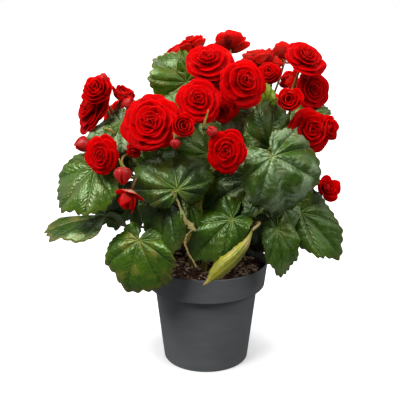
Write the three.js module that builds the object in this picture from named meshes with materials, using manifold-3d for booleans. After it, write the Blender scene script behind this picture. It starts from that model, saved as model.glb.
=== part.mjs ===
// A potted elatior begonia: a tapered nursery pot filled with soil, five leafy stems that stand in
// plain holes in the soil, toothed heart-shaped leaves on petioles, double rose-form blooms and buds.
// Millimetres, +Z up. The origin is the centre of the pot's foot; -Y is the side that shows best.
import * as THREE from "three";
import { mergeVertices } from "three/addons/utils/BufferGeometryUtils.js";
import Module from "manifold-3d";

const wasm = await Module();
wasm.setup();

// ---------- driving dimensions ----------

const SEAT_GAP = 0.3; // between two pieces that touch
const POT = {
  height: 109,
  rimRadius: 65,
  collarHeight: 26,
  collarFootRadius: 61.8,
  neckRadius: 54.5,
  footRadius: 44.8,
  wall: 1.5,
  edge: 0.8,
  floorThickness: 1.8,
  sides: 32,
};
const DRAIN = { count: 6, radius: 4, ring: 31, sides: 6 };
const SOIL = { edgeHeight: 99, mound: 3.5, lump: 1.3, sides: 22, rings: [0, 0.3, 0.62, 0.86, 1] };
const STEM = { depth: 30, radius: 3, steps: 7, sides: 6 };
const PETIOLE = { radius: 1.3, steps: 3, sides: 5, seat: 0.45 };
const PEDICEL = { radius: 1.2, steps: 3, sides: 5 };
const LEAF = { thickness: 0.8, spokes: 12, fewSpokes: 9, small: 40, midRing: 0.58, tooth: 0.065 };
const PETAL = { thickness: 0.8, lift: 0.5, liftShare: 0.02, lipRound: 0.22 };

// How the petals of each kind of bloom sit, in shares of the bloom's radius. The heart is a small
// cone with one ring of petals for each whorl: ring gives the heart's radius and the heights between
// which its petals grow, and a petal then runs through waist to lip, as [radius, height] pairs.
// spread is how much of its sector a petal fills at the waist and at the lip; past 1 it overlaps.
// behind is how far the middle of the whole bloom lies ahead of its flat back.
const KINDS = {
  large: {
    petals: 6,
    behind: 0.35,
    crown: 0.66,
    whorls: [
      { ring: [0.17, 0.06, 0.12], waist: [0.62, 0.1], lip: [1, 0.26], spread: [0.94, 1.2] },
      { ring: [0.2, 0.19, 0.25], waist: [0.54, 0.3], lip: [0.86, 0.48], spread: [0.94, 1.22] },
      { ring: [0.2, 0.33, 0.39], waist: [0.42, 0.47], lip: [0.64, 0.68], spread: [0.94, 1.24] },
      { ring: [0.17, 0.46, 0.52], waist: [0.28, 0.62], lip: [0.4, 0.84], spread: [0.94, 1.26] },
    ],
  },
  full: {
    petals: 5,
    behind: 0.35,
    crown: 0.6,
    whorls: [
      { ring: [0.17, 0.07, 0.14], waist: [0.6, 0.13], lip: [1, 0.3], spread: [0.94, 1.2] },
      { ring: [0.2, 0.22, 0.29], waist: [0.48, 0.36], lip: [0.76, 0.56], spread: [0.94, 1.22] },
      { ring: [0.17, 0.38, 0.45], waist: [0.3, 0.56], lip: [0.44, 0.8], spread: [0.94, 1.24] },
    ],
  },
  open: {
    petals: 5,
    behind: 0.35,
    crown: 0.6,
    whorls: [
      { ring: [0.17, 0.08, 0.15], waist: [0.6, 0.16], lip: [1, 0.36], spread: [0.92, 1.16] },
      { ring: [0.2, 0.28, 0.36], waist: [0.44, 0.48], lip: [0.68, 0.78], spread: [0.88, 1.1] },
    ],
  },
  half: {
    petals: 4,
    behind: 0.35,
    crown: 0.75,
    whorls: [
      { ring: [0.2, 0.1, 0.18], waist: [0.6, 0.3], lip: [0.96, 0.66], spread: [0.86, 1.02] },
      { ring: [0.2, 0.36, 0.44], waist: [0.36, 0.66], lip: [0.5, 1.04], spread: [0.86, 1.02] },
    ],
  },
  bud: {
    petals: 3,
    behind: 0.9,
    crown: 1.3,
    whorls: [{ ring: [0.4, 0.2, 0.42], waist: [0.95, 0.95], lip: [0.24, 1.9], spread: [0.92, 0.95] }],
  },
};

// ---------- layout ----------

// Leafy stems: where each one leaves the soil, and where its top is.
const STEMS = {
  left: { foot: [-15, -5], top: [-58, -34, 212] },
  front: { foot: [-2, -15], top: [-6, -42, 232] },
  right: { foot: [14, -6], top: [62, -26, 214] },
  back_right: { foot: [10, 12], top: [52, 52, 222] },
  back_left: { foot: [-10, 12], top: [-50, 48, 222] },
};

// Leaves: at is the joint with the petiole, tip is where the midrib points, face is the way that the
// upper side looks. wide, fold, droop and wave are shares of the leaf's length from joint to tip.
const LEAVES = {
  left_broad: { at: [-98, -57, 214], tip: [-132, -76, 189], face: [-0.35, -0.75, 0.55] },
  left_level: { at: [-100, -35, 166], tip: [-160, -20, 150], face: [-0.2, 0, 1], wide: 0.8, droop: 0.1 },
  left_low: { at: [-64, -74, 153], tip: [-78, -88, 109], face: [-0.3, -0.9, 0.35], wide: 1.15 },
  front_dark: { at: [-27, -88, 206], tip: [-33, -72, 244], face: [0, -1, 0.3], wide: 1.4, bow: [10, 0, 10] },
  front_folded: { at: [-38, -66, 192], tip: [-45, -80, 152], face: [-0.5, -0.8, 0.3], wide: 0.75, fold: 0.4 },
  front_low: { at: [21, -84, 174], tip: [-7, -95, 147], face: [0, -0.8, 0.6], wide: 1.05, bow: [0, -5, -5] },
  front_middle: { at: [44, -58, 207], tip: [-2, -72, 190], face: [-0.1, -0.85, 0.55], wide: 0.9 },
  right_broad: { at: [62, -78, 232], tip: [90, -79, 190], face: [0.3, -0.8, 0.4], wide: 1.1, bow: [5, -5, 0] },
  right_upright: { at: [58, -50, 237], tip: [52, -38, 278], face: [0, -0.9, 0.3], wide: 1.05, fold: 0.35 },
  right_outer: { at: [93, -32, 168], tip: [140, -38, 130], face: [0.2, -0.85, 0.5], wide: 0.75 },
  right_low: { at: [68, -58, 158], tip: [76, -72, 117], face: [0.2, -0.95, 0.3], wide: 0.64 },
  top_left: { at: [-20, -8, 294], tip: [-48, -4, 319], face: [-0.35, -0.8, 0.5], wide: 1.1 },
  left_upper: { at: [-84, -32, 256], tip: [-114, -32, 252], face: [-0.3, -0.6, 0.75] },
  yellow: { at: [42, -66, 166], tip: [-1, -97, 118], face: [0.6, -0.5, 0.6], wide: 0.34, fold: 0.3 },
  right_top: { at: [94, -8, 259], tip: [122, -4, 272], face: [0.3, -0.6, 0.75], wide: 0.9 },
  front_upper: { at: [-27, -40, 230], tip: [-36, -38, 263], face: [-0.1, -0.9, 0.4] },
  front_small: { at: [-16, -74, 187], tip: [-19, -86, 156], face: [0.2, -0.9, 0.4], wide: 0.6 },
  back_left_low: { at: [-78, 58, 172], tip: [-112, 84, 134], face: [-0.5, 0.6, 0.6], wide: 1.1 },
  back_low: { at: [-12, 84, 168], tip: [-18, 112, 128], face: [-0.1, 0.85, 0.5], wide: 1.1 },
  back_right_low: { at: [66, 66, 172], tip: [94, 96, 134], face: [0.4, 0.7, 0.6], wide: 1.1 },
  back_left: { at: [-66, 66, 232], tip: [-98, 98, 212], face: [-0.4, 0.6, 0.7], wide: 1.1 },
  back_middle: { at: [2, 88, 222], tip: [4, 116, 178], face: [0.1, 0.85, 0.5], wide: 1.1 },
  back_right: { at: [72, 62, 236], tip: [108, 84, 212], face: [0.5, 0.5, 0.7], wide: 1.1 },
  left_back: { at: [-100, 14, 222], tip: [-142, 26, 194], face: [-0.6, 0.1, 0.8], wide: 1.05 },
  right_back: { at: [76, 8, 226], tip: [110, 22, 194], face: [0.7, 0.2, 0.7] },
  top_back: { at: [-6, 40, 290], tip: [-10, 82, 304], face: [-0.1, 0.2, 1] },
};

// Blooms: at is the middle of the bloom, faces is the way it looks.
const BLOOMS = {
  front_large: { at: [-51, -85, 268], faces: [-0.15, -0.85, 0.45], radius: 27, kind: "large", stem: "left" },
  front_middle: { at: [-7, -82, 286], faces: [0.05, -0.85, 0.4], radius: 19.5, bow: [5, -5, 0] },
  top: { at: [2, -50, 319], faces: [-0.05, -0.6, 0.75], radius: 23 },
  front_right: { at: [33, -66, 300], faces: [0.3, -0.85, 0.35], radius: 19.5 },
  front_low: { at: [17, -102, 244], faces: [0, -1, 0.1], radius: 20 },
  left_low: { at: [-97, -78, 236], faces: [-0.25, -0.95, 0.15], radius: 19 },
  left_side: { at: [-110, -22, 276], faces: [-0.8, -0.35, 0.45], radius: 27, kind: "large", bow: [0, 5, -5] },
  back_top: { at: [25, 22, 329], faces: [0.1, 0.55, 0.8], radius: 18, kind: "open" },
  top_left: { at: [-14, 12, 328], faces: [-0.3, 0.2, 0.9], radius: 16, kind: "open", bow: [0, 5, 0] },
  right_top: { at: [95, -22, 320], faces: [0.25, -0.6, 0.7], radius: 20.5 },
  right_upper: { at: [105, -16, 288], faces: [0.45, -0.85, 0.2], radius: 18.5 },
  right_middle: { at: [100, -38, 251], faces: [0.3, -0.9, 0.25], radius: 21 },
  back_right_top: { at: [51, 16, 314], faces: [-0.2, 0.3, 0.9], radius: 17.5, kind: "open" },
  back_right_high: { at: [81, 32, 318], faces: [0.2, 0.6, 0.8], radius: 17, kind: "open" },
  right_small: { at: [78, -44, 280], faces: [-0.2, -0.85, 0.5], radius: 12.5, kind: "half" },
  right_low: { at: [121, -22, 190], faces: [0.7, -0.65, 0.2], radius: 14, kind: "half" },
  front_half: { at: [-22, -94, 265], faces: [0.3, -0.9, 0.3], radius: 9, kind: "half", stem: "left" },
  front_hidden: { at: [19, -62, 273], faces: [0.1, -0.9, 0.1], radius: 11, kind: "half" },
  left_small: { at: [-82, -14, 281], faces: [0.4, -0.3, 0.85], radius: 12, kind: "half" },
  left_hanging: { at: [-70, -86, 196], faces: [-0.45, -0.6, -0.55], radius: 12, kind: "half" },
  back_left: { at: [-72, 74, 246], faces: [-0.5, 0.7, 0.5], radius: 22, bow: [0, 0, 5] },
  back_middle: { at: [-4, 98, 268], faces: [0, 0.9, 0.45], radius: 23 },
  back_right: { at: [66, 82, 260], faces: [0.45, 0.8, 0.4], radius: 20, kind: "open", bow: [-5, 0, 0] },
  back_high: { at: [-36, 56, 314], faces: [-0.2, 0.6, 0.8], radius: 19, kind: "open", bow: [-5, 5, 5] },
};

const BUDS = {
  left_outer: { at: [-121, -46, 240], faces: [-0.8, -0.5, -0.1], radius: 6.5, bow: [0, 0, -6] },
  left_low: { at: [-76, -88, 220], faces: [0.1, -0.5, -0.8], radius: 8 },
  left_high: { at: [-71, -58, 280], faces: [0.4, -0.4, 0.8], radius: 6, bow: [5, 0, 0] },
};

// ---------- materials ----------

function finish(hex, roughness) {
  return new THREE.MeshStandardMaterial({ color: hex, roughness, metalness: 0 });
}

const MATERIALS = {
  pot: finish(0x484b4f, 0.5),
  soil: finish(0x2a1c12, 0.95),
  stem: finish(0x8a8a34, 0.5),
  leaf: finish(0x3a5a22, 0.4),
  yellowLeaf: finish(0xa89a34, 0.5),
  petal: finish(0xc8060e, 0.55),
};

// ---------- solids and meshes ----------

function vec(list) {
  return new THREE.Vector3(...list);
}

function solidFrom(geometry) {
  const bare = geometry.clone();
  bare.deleteAttribute("normal");
  bare.deleteAttribute("uv");
  const merged = mergeVertices(bare, 1e-4);
  return new wasm.Manifold(
    new wasm.Mesh({
      numProp: 3,
      vertProperties: merged.attributes.position.array,
      triVerts: new Uint32Array(merged.index.array),
    }),
  );
}

function geometryFromSolid(solid) {
  const { numProp, numVert, vertProperties, triVerts } = solid.getMesh();
  const positions = new Float32Array(numVert * 3);
  for (let i = 0; i < numVert; i++) {
    positions.set(vertProperties.subarray(i * numProp, i * numProp + 3), i * 3);
  }
  const geometry = new THREE.BufferGeometry();
  geometry.setAttribute("position", new THREE.BufferAttribute(positions, 3));
  geometry.setIndex(new THREE.BufferAttribute(triVerts, 1));
  return geometry;
}

function geometryFromFaces(points, faces) {
  const geometry = new THREE.BufferGeometry();
  const flat = points.flatMap((p) => [p.x, p.y, p.z]);
  geometry.setAttribute("position", new THREE.Float32BufferAttribute(flat, 3));
  geometry.setIndex(faces.flat());
  return geometry;
}

function namedMesh(name, geometry, material, frame = new THREE.Matrix4()) {
  const mesh = new THREE.Mesh(geometry, material);
  mesh.name = name;
  mesh.applyMatrix4(frame);
  return mesh;
}

// A local frame at origin: its z points along forward, its x is as near as can be to the hint.
function frameAt(origin, forward, hint) {
  const z = forward.clone().normalize();
  const x = hint.clone().projectOnPlane(z).normalize();
  const y = new THREE.Vector3().crossVectors(z, x);
  return new THREE.Matrix4().makeBasis(x, y, z).setPosition(origin);
}

function tube(path, radius, steps, sides) {
  const corners = Array.from({ length: sides }, (_, i) => {
    const angle = (2 * Math.PI * i) / sides;
    return new THREE.Vector2(radius * Math.cos(angle), radius * Math.sin(angle));
  });
  const settings = { extrudePath: path, steps, bevelEnabled: false };
  return solidFrom(new THREE.ExtrudeGeometry(new THREE.Shape(corners), settings));
}

// ---------- pot and soil ----------

function potInnerRadius(height) {
  const { neckRadius, footRadius, wall } = POT;
  const neckHeight = POT.height - POT.collarHeight;
  if (height > neckHeight) {
    const up = (height - neckHeight) / POT.collarHeight;
    return POT.collarFootRadius + (POT.rimRadius - POT.collarFootRadius) * up - wall;
  }
  return footRadius + ((neckRadius - footRadius) * height) / neckHeight - wall;
}

function lathe(profile, sides) {
  const outline = profile.map(([radius, height]) => new THREE.Vector2(radius, height));
  return new THREE.LatheGeometry(outline, sides).rotateX(Math.PI / 2);
}

function buildPot() {
  const { height, wall, edge, floorThickness, footRadius, rimRadius } = POT;
  const neck = height - POT.collarHeight;
  const ledge = neck + wall + edge;
  const profile = [
    [0, 0],
    [footRadius - edge, 0],
    [footRadius, edge],
    [POT.neckRadius, neck],
    [POT.collarFootRadius - edge, neck],
    [POT.collarFootRadius, neck + edge],
    [rimRadius, height - edge],
    [rimRadius - edge, height],
    [rimRadius - wall, height - edge],
    [potInnerRadius(ledge), ledge],
    [potInnerRadius(neck), neck],
    [potInnerRadius(floorThickness), floorThickness],
    [0, floorThickness],
  ];
  let pot = solidFrom(lathe(profile, POT.sides));
  for (let i = 0; i < DRAIN.count; i++) {
    const angle = (2 * Math.PI * (i + 0.5)) / DRAIN.count;
    const hole = new THREE.CylinderGeometry(DRAIN.radius, DRAIN.radius, 4 * wall, DRAIN.sides)
      .rotateX(Math.PI / 2)
      .translate(DRAIN.ring * Math.cos(angle), DRAIN.ring * Math.sin(angle), 0);
    pot = pot.subtract(solidFrom(hole));
  }
  return namedMesh("pot", geometryFromSolid(pot), MATERIALS.pot);
}

// The height of the soil's top: a low mound with lumps.
function soilHeight(x, y) {
  const share = Math.hypot(x, y) / POT.rimRadius;
  const lumps = Math.sin(x / 5.1 + 1.3) * Math.cos(y / 6.3) + 0.6 * Math.sin((x - y) / 3.7);
  return SOIL.edgeHeight + SOIL.mound * (1 - share * share) + SOIL.lump * lumps;
}

function buildSoil() {
  const neck = POT.height - POT.collarHeight;
  const ledge = neck + POT.wall + POT.edge;
  const bottom = POT.floorThickness + SEAT_GAP;
  const clear = SEAT_GAP + 0.2;
  const edgeRadius = potInnerRadius(SOIL.edgeHeight) - clear;
  const profile = [
    [0, bottom],
    [potInnerRadius(bottom) - clear, bottom],
    [potInnerRadius(neck) - clear, neck],
    [potInnerRadius(ledge) - clear, ledge + clear],
    ...SOIL.rings.toReversed().map((share) => [edgeRadius * share, SOIL.edgeHeight]),
  ];
  const geometry = lathe(profile, SOIL.sides);
  const position = geometry.attributes.position;
  for (let i = 0; i < position.count; i++) {
    if (position.getZ(i) > SOIL.edgeHeight - 0.01) {
      position.setZ(i, soilHeight(position.getX(i), position.getY(i)));
    }
  }
  const holes = Object.values(STEMS).map(stemHole);
  const soil = holes.reduce((rest, hole) => rest.subtract(hole), solidFrom(geometry));
  return namedMesh("soil", geometryFromSolid(soil), MATERIALS.soil);
}

// ---------- leaves ----------

// The outline of a begonia leaf round its joint: pointed ahead, lobed behind, one side larger.
function leafReach(phi) {
  const behind = Math.PI - Math.abs(phi);
  const body = 0.62 + 0.27 * Math.cos(phi) + 0.06 * Math.cos(2 * phi);
  const point = 0.07 * Math.exp(-((phi / 0.3) ** 2));
  const notch = 1 - 0.72 * Math.exp(-((behind / 0.34) ** 2));
  return (body + point) * notch * (1 + 0.09 * Math.sin(phi));
}

// A point of the leaf's sheet in its own frame: x along the midrib, y across, z out of the upper side.
function leafPoint({ length, wide, fold, droop, wave, turn }, phi, share) {
  const reach = leafReach(phi) * share;
  const x = reach * Math.cos(phi);
  const y = reach * Math.sin(phi) * wide;
  const crease = Math.sqrt(y * y + 0.004) - 0.063;
  const waves = Math.sin(3 * phi + turn) + 0.5 * Math.sin(5 * phi + 2 * turn);
  const z = fold * crease - droop * (x * x + 0.4 * y * y) + wave * waves * share ** 3;
  return new THREE.Vector3(x, y, z).multiplyScalar(length);
}

function leafSpec([key, leaf], index) {
  const at = vec(leaf.at);
  const along = vec(leaf.tip).sub(at);
  const spec = { wide: 1, fold: 0.16, droop: 0.28, wave: 0.05, ...leaf };
  const frame = frameAt(at, vec(leaf.face).projectOnPlane(along), along);
  return { name: `leaf_${key}`, ...spec, at, frame, length: along.length(), turn: 1.7 * index };
}

// Gives an open sheet of triangles a thickness. Both sides keep the same split into triangles.
function thicken(points, faces, thickness) {
  const normals = points.map(() => new THREE.Vector3());
  const rimEdges = new Map();
  for (const [a, b, c] of faces) {
    const normal = new THREE.Triangle(points[a], points[b], points[c]).getNormal(new THREE.Vector3());
    for (const [i, j] of [[a, b], [b, c], [c, a]]) {
      normals[i].add(normal);
      if (!rimEdges.delete(`${j},${i}`)) rimEdges.set(`${i},${j}`, [i, j]);
    }
  }
  const count = points.length;
  const side = (shift) =>
    points.map((p, i) => p.clone().addScaledVector(normals[i].clone().normalize(), shift));
  const skin = faces.flatMap(([a, b, c]) => [[a, b, c], [c + count, b + count, a + count]]);
  const rim = [...rimEdges.values()].flatMap(([i, j]) => [
    [j, i, i + count],
    [j, i + count, j + count],
  ]);
  return geometryFromFaces([...side(thickness / 2), ...side(-thickness / 2)], [...skin, ...rim]);
}

function buildLeaf(spec) {
  const { midRing, tooth, thickness } = LEAF;
  const spokes = spec.length < LEAF.small ? LEAF.fewSpokes : LEAF.spokes;
  const open = 0.17; // half the notch behind the joint, as an angle
  const rim = 2 * (spokes - 1);
  const sweep = (i, count) => -Math.PI + open + ((2 * Math.PI - 2 * open) * i) / count;
  const points = [new THREE.Vector3()];
  for (let i = 0; i < spokes; i++) {
    points.push(leafPoint(spec, sweep(i, spokes - 1), midRing));
  }
  for (let i = 0; i <= rim; i++) {
    points.push(leafPoint(spec, sweep(i, rim), 1 + (i % 2 ? -tooth : tooth)));
  }
  const faces = [];
  for (let i = 1; i < spokes; i++) {
    const outer = spokes + 2 * i - 1;
    faces.push([0, i, i + 1], [i, outer, outer + 1], [i, outer + 1, i + 1]);
    faces.push([i + 1, outer + 1, outer + 2]);
  }
  const material = spec.name === "leaf_yellow" ? MATERIALS.yellowLeaf : MATERIALS.leaf;
  return namedMesh(spec.name, thicken(points, faces, thickness), material, spec.frame);
}

// ---------- blooms and buds ----------

function bloomSpec([key, bloom], index) {
  const kind = bloom.kind ?? "full";
  const name = kind === "bud" ? `bud_${key}` : `bloom_${key}`;
  const faces = vec(bloom.faces).normalize();
  const hint = Math.abs(faces.z) > 0.9 ? vec([1, 0, 0]) : vec([0, 0, 1]);
  const at = vec(bloom.at).addScaledVector(faces, -KINDS[kind].behind * bloom.radius);
  return { ...bloom, kind, name, at, faces, frame: frameAt(at, faces, hint), turn: 2.4 * index };
}

// The two skins of one petal, from its place on the heart's ring through its waist to its lip. Each
// skin is a list of points in rows; the first row is the pair of corners that it shares with the heart.
function petalSkins(whorl, middle, halfSector, radius, uneven) {
  const { waist, lip, spread } = whorl;
  const slope = new THREE.Vector2(lip[0] - waist[0], lip[1] - waist[1]).normalize();
  const lift = PETAL.lift + PETAL.liftShare * radius;
  const place = (across, along, halfAngle, offset) => {
    const rise = lift * across + offset;
    const r = radius * THREE.MathUtils.lerp(waist[0], lip[0], along) - slope.y * rise;
    const z = radius * THREE.MathUtils.lerp(waist[1], lip[1], along) + slope.x * rise;
    const angle = middle + across * halfAngle;
    return new THREE.Vector3(r * Math.cos(angle), r * Math.sin(angle), z);
  };
  const skin = (offset) => [
    ...[-1, 0, 1].map((across) => place(across, 0, halfSector * spread[0], offset)),
    ...[-1, 0, 1].map((across) => {
      const along = 1 - PETAL.lipRound * across ** 2 + 0.06 * Math.sin(uneven + 2 * across);
      return place(across, along, halfSector * spread[1], offset);
    }),
  ];
  return [skin(-PETAL.thickness / 2), skin(PETAL.thickness / 2)];
}

// The triangles of one petal. under and over are its two skins, each two corners on the heart, then
// three points at the waist and three at the lip, all as indices and from left to right.
function petalFaces(under, over) {
  const [a, b, c, d, e, f, g, h] = over;
  const top = [[a, c, d], [a, d, b], [b, d, e], [c, f, g], [c, g, d], [d, g, h], [d, h, e]];
  const below = top.map((face) => face.map((i) => under[over.indexOf(i)]).reverse());
  const rim = [0, 2, 5, 6, 7, 4, 1];
  const edge = rim.slice(1).flatMap((next, i) => {
    const here = rim[i];
    return [[under[here], under[next], over[next]], [under[here], over[next], over[here]]];
  });
  return [...top, ...below, ...edge];
}

function buildBloom(spec) {
  const { radius, turn } = spec;
  const { petals, crown, whorls } = KINDS[spec.kind];
  const sector = (2 * Math.PI) / petals;
  const points = [];
  const faces = [];
  const next = (start, j) => start + ((j + 1) % petals);
  const ring = (share, height, order) => {
    for (let j = 0; j < petals; j++) {
      const angle = turn + (order / 2 + j) * sector;
      const r = share * radius;
      points.push(new THREE.Vector3(r * Math.cos(angle), r * Math.sin(angle), height * radius));
    }
    return points.length - petals;
  };
  let below = ring(0.11, 0, -1);
  for (let j = 1; j < petals - 1; j++) faces.push([below, below + j + 1, below + j]);
  whorls.forEach((whorl, order) => {
    const low = ring(whorl.ring[0], whorl.ring[1], order);
    const high = ring(whorl.ring[0], whorl.ring[2], order);
    for (let j = 0; j < petals; j++) {
      faces.push([below + j, next(below, j), low + j], [next(below, j), next(low, j), low + j]);
      const middle = turn + (order / 2 + j + 0.5) * sector;
      const [under, over] = petalSkins(whorl, middle, sector / 2, radius, 3 * order + 2 * j);
      const start = points.push(...under, ...over) - 12;
      const indices = (first) => Array.from({ length: 6 }, (_, i) => first + i);
      faces.push(
        ...petalFaces(
          [low + j, next(low, j), ...indices(start)],
          [high + j, next(high, j), ...indices(start + 6)],
        ),
      );
    }
    below = high;
  });
  points.push(new THREE.Vector3(0, 0, crown * radius));
  for (let j = 0; j < petals; j++) faces.push([below + j, next(below, j), points.length - 1]);
  return namedMesh(spec.name, geometryFromFaces(points, faces), MATERIALS.petal, spec.frame);
}

// ---------- stems ----------

// Straight up through the soil, then a bend out to the top.
function stemPath({ foot, top }) {
  const bottom = vec([...foot, SOIL.edgeHeight - STEM.depth]);
  const bend = vec([...foot, SOIL.edgeHeight + 8]);
  const rise = top[2] - bend.z;
  const path = new THREE.CurvePath();
  path.add(new THREE.LineCurve3(bottom, bend));
  path.add(
    new THREE.CubicBezierCurve3(
      bend,
      vec([...foot, bend.z + 0.4 * rise]),
      vec([0.75 * top[0] + 0.25 * foot[0], 0.75 * top[1] + 0.25 * foot[1], bend.z + 0.55 * rise]),
      vec(top),
    ),
  );
  return path;
}

function stemHole({ foot }) {
  const radius = STEM.radius + 2 * SEAT_GAP;
  const bottom = vec([...foot, SOIL.edgeHeight - STEM.depth - SEAT_GAP]);
  const above = vec([...foot, SOIL.edgeHeight + STEM.depth]);
  return tube(new THREE.LineCurve3(bottom, above), radius, 1, STEM.sides);
}

// A stalk from a share of the stem's path to its end, where it arrives along a given direction.
function stalkPath(path, share, end, arrival, bow = [0, 0, 0]) {
  const start = path.getPointAt(share);
  const reach = start.distanceTo(end);
  const leave = path.getTangentAt(share).multiplyScalar(0.35 * reach).add(start).add(vec(bow));
  const arrive = end.clone().addScaledVector(arrival, -0.4 * reach).add(vec(bow));
  return new THREE.CubicBezierCurve3(start, leave, arrive, end);
}

function nearestStem(point) {
  const reach = (key) => vec(STEMS[key].top).distanceTo(point);
  return Object.keys(STEMS).reduce((a, b) => (reach(a) <= reach(b) ? a : b));
}

// Where on the stem a stalk starts: lower for a leaf or bloom that sits lower.
function startShare(stem, point) {
  const [x, y, top] = stem.top;
  const drop = 0.5 * Math.hypot(point.x - x, point.y - y);
  const share = (point.z - drop - SOIL.edgeHeight) / (top - SOIL.edgeHeight);
  return THREE.MathUtils.clamp(share, 0.35, 0.97);
}

function petiole(stem, path, spec) {
  const along = new THREE.Vector3();
  const across = new THREE.Vector3();
  const normal = new THREE.Vector3();
  spec.frame.extractBasis(along, across, normal);
  const lean = 0.7; // the angle between the petiole and the blade's normal, in radians
  const arrival = normal.clone().multiplyScalar(Math.cos(lean)).addScaledVector(along, Math.sin(lean));
  const below = LEAF.thickness / 2 + PETIOLE.seat + PETIOLE.radius * Math.sin(lean);
  const end = spec.at.clone().addScaledVector(normal, -below);
  const stalk = stalkPath(path, startShare(stem, end), end, arrival, spec.bow);
  return tube(stalk, PETIOLE.radius, PETIOLE.steps, PETIOLE.sides);
}

function pedicel(stem, path, spec) {
  const end = spec.at.clone().addScaledVector(spec.faces, -SEAT_GAP);
  const stalk = stalkPath(path, startShare(stem, end), end, spec.faces, spec.bow);
  return tube(stalk, PEDICEL.radius, PEDICEL.steps, PEDICEL.sides);
}

function buildStem([key, stem]) {
  const path = stemPath(stem);
  const mine = (spec) => (spec.stem ?? nearestStem(spec.at)) === key;
  const stalks = [
    ...leaves.filter(mine).map((leaf) => petiole(stem, path, leaf)),
    ...blooms.filter(mine).map((bloom) => pedicel(stem, path, bloom)),
  ];
  const trunk = tube(path, STEM.radius, STEM.steps, STEM.sides);
  const solid = stalks.reduce((joined, stalk) => joined.add(stalk), trunk);
  return namedMesh(`stem_${key}`, geometryFromSolid(solid), MATERIALS.stem);
}

// ---------- the plant ----------

const buds = Object.entries(BUDS).map(([key, bud]) => [key, { ...bud, kind: "bud" }]);
const leaves = Object.entries(LEAVES).map(leafSpec);
const blooms = [...Object.entries(BLOOMS), ...buds].map(bloomSpec);

const plant = new THREE.Group();
plant.add(buildPot(), buildSoil());
plant.add(...Object.entries(STEMS).map(buildStem));
plant.add(...leaves.map(buildLeaf));
plant.add(...blooms.map(buildBloom));

export default plant;
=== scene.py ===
"""The looks of a potted elatior begonia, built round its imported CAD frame.

Lengths in the tables and formulas are millimetres, as in the CAD source; Skin.build() turns them to
metres. +Z is up and -Y is the side that the camera sees. Every CAD node is replaced by a finer piece in
its place, and smaller leaves and flowers, bracts and dry strips fill and trim the plant.
"""

import math
import random

import bpy
import numpy as np
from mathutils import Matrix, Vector


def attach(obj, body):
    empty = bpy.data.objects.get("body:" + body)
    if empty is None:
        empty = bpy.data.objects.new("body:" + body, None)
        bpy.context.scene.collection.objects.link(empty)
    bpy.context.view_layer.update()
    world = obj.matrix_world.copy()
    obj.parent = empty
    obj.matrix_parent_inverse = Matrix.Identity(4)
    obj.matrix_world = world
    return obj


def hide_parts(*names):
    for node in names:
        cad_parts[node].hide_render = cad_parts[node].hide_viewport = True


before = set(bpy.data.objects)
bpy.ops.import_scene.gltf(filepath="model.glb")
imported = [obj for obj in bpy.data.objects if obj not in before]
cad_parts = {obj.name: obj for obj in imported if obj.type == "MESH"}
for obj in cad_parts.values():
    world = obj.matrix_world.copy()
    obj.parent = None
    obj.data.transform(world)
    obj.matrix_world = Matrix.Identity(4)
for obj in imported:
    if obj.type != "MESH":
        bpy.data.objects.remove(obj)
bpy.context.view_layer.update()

MM = 0.001
TAU = 2 * math.pi
UP = np.array([0.0, 0.0, 1.0])

# ---------- layout, as in the CAD source ----------

SOIL_EDGE = 99
POT = {
    "height": 109, "rim": 65, "collar": 26, "collar_foot": 61.8, "neck": 54.5, "foot": 44.8,
    "wall": 1.5, "floor": 1.8,
}
DRAIN = {"count": 6, "radius": 4, "ring": 31}
STEM = {"depth": 30, "radius": 3}
STEMS = {
    "left": {"foot": [-15, -5], "top": [-58, -34, 212]},
    "front": {"foot": [-2, -15], "top": [-6, -42, 232]},
    "right": {"foot": [14, -6], "top": [62, -26, 214]},
    "back_right": {"foot": [10, 12], "top": [52, 52, 222]},
    "back_left": {"foot": [-10, 12], "top": [-50, 48, 222]},
}

# ---------- how fine the pieces are, and how they vary ----------

# The thickness of a sheet, and its rows and columns of points.
THICKNESS = {"leaf": 0.45, "petal": 0.32}
GRIDS = {
    "leaf": (22, 145), "inner_leaf": (14, 101), "rolled": (44, 31), "strip": (44, 13), "bract": (16, 7),
    "petal": (9, 13), "inner_petal": (7, 11),
}
# Leaves and blooms vary with a turn in radians: this much times their number in the tables, where the
# inner ones are counted from INNER_START. Each whorl of a bloom is turned on by BLOOM_TURN as well.
LEAF_TURN = 1.7
BLOOM_TURN = 2.4
INNER_START = 40

# ---------- tables of leaves ----------

# wide scales the width. fold, arch, droop, wave and curl bend the blade, skew makes one half larger, and
# swell lifts it between its veins. tone runs from dark green to light green; its lowest values are painted
# shade, on leaves that lie inside the plant's shadow, and above 0.8 it also paints a silvery highlight on
# the blade. dry is how far the margin has withered, and bow pushes the petiole aside. Above YOUNG_TONE, a
# small leaf is a young one.
YOUNG_TONE = 1.4
LEAF = {
    "wide": 1, "fold": 0.1, "arch": 0.35, "droop": 0.28, "wave": 0.065, "curl": 0.03, "skew": 0.09,
    "swell": 0.02, "tone": 0.45, "dry": 0.12, "bow": [0, 0, 0],
}


def blade(at, tip, face, **own):
    """A leaf: its joint with the petiole, where its midrib points, where its upper side looks, and what
    sets it apart."""
    return {**LEAF, "at": at, "tip": tip, "face": face, **own}


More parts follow.
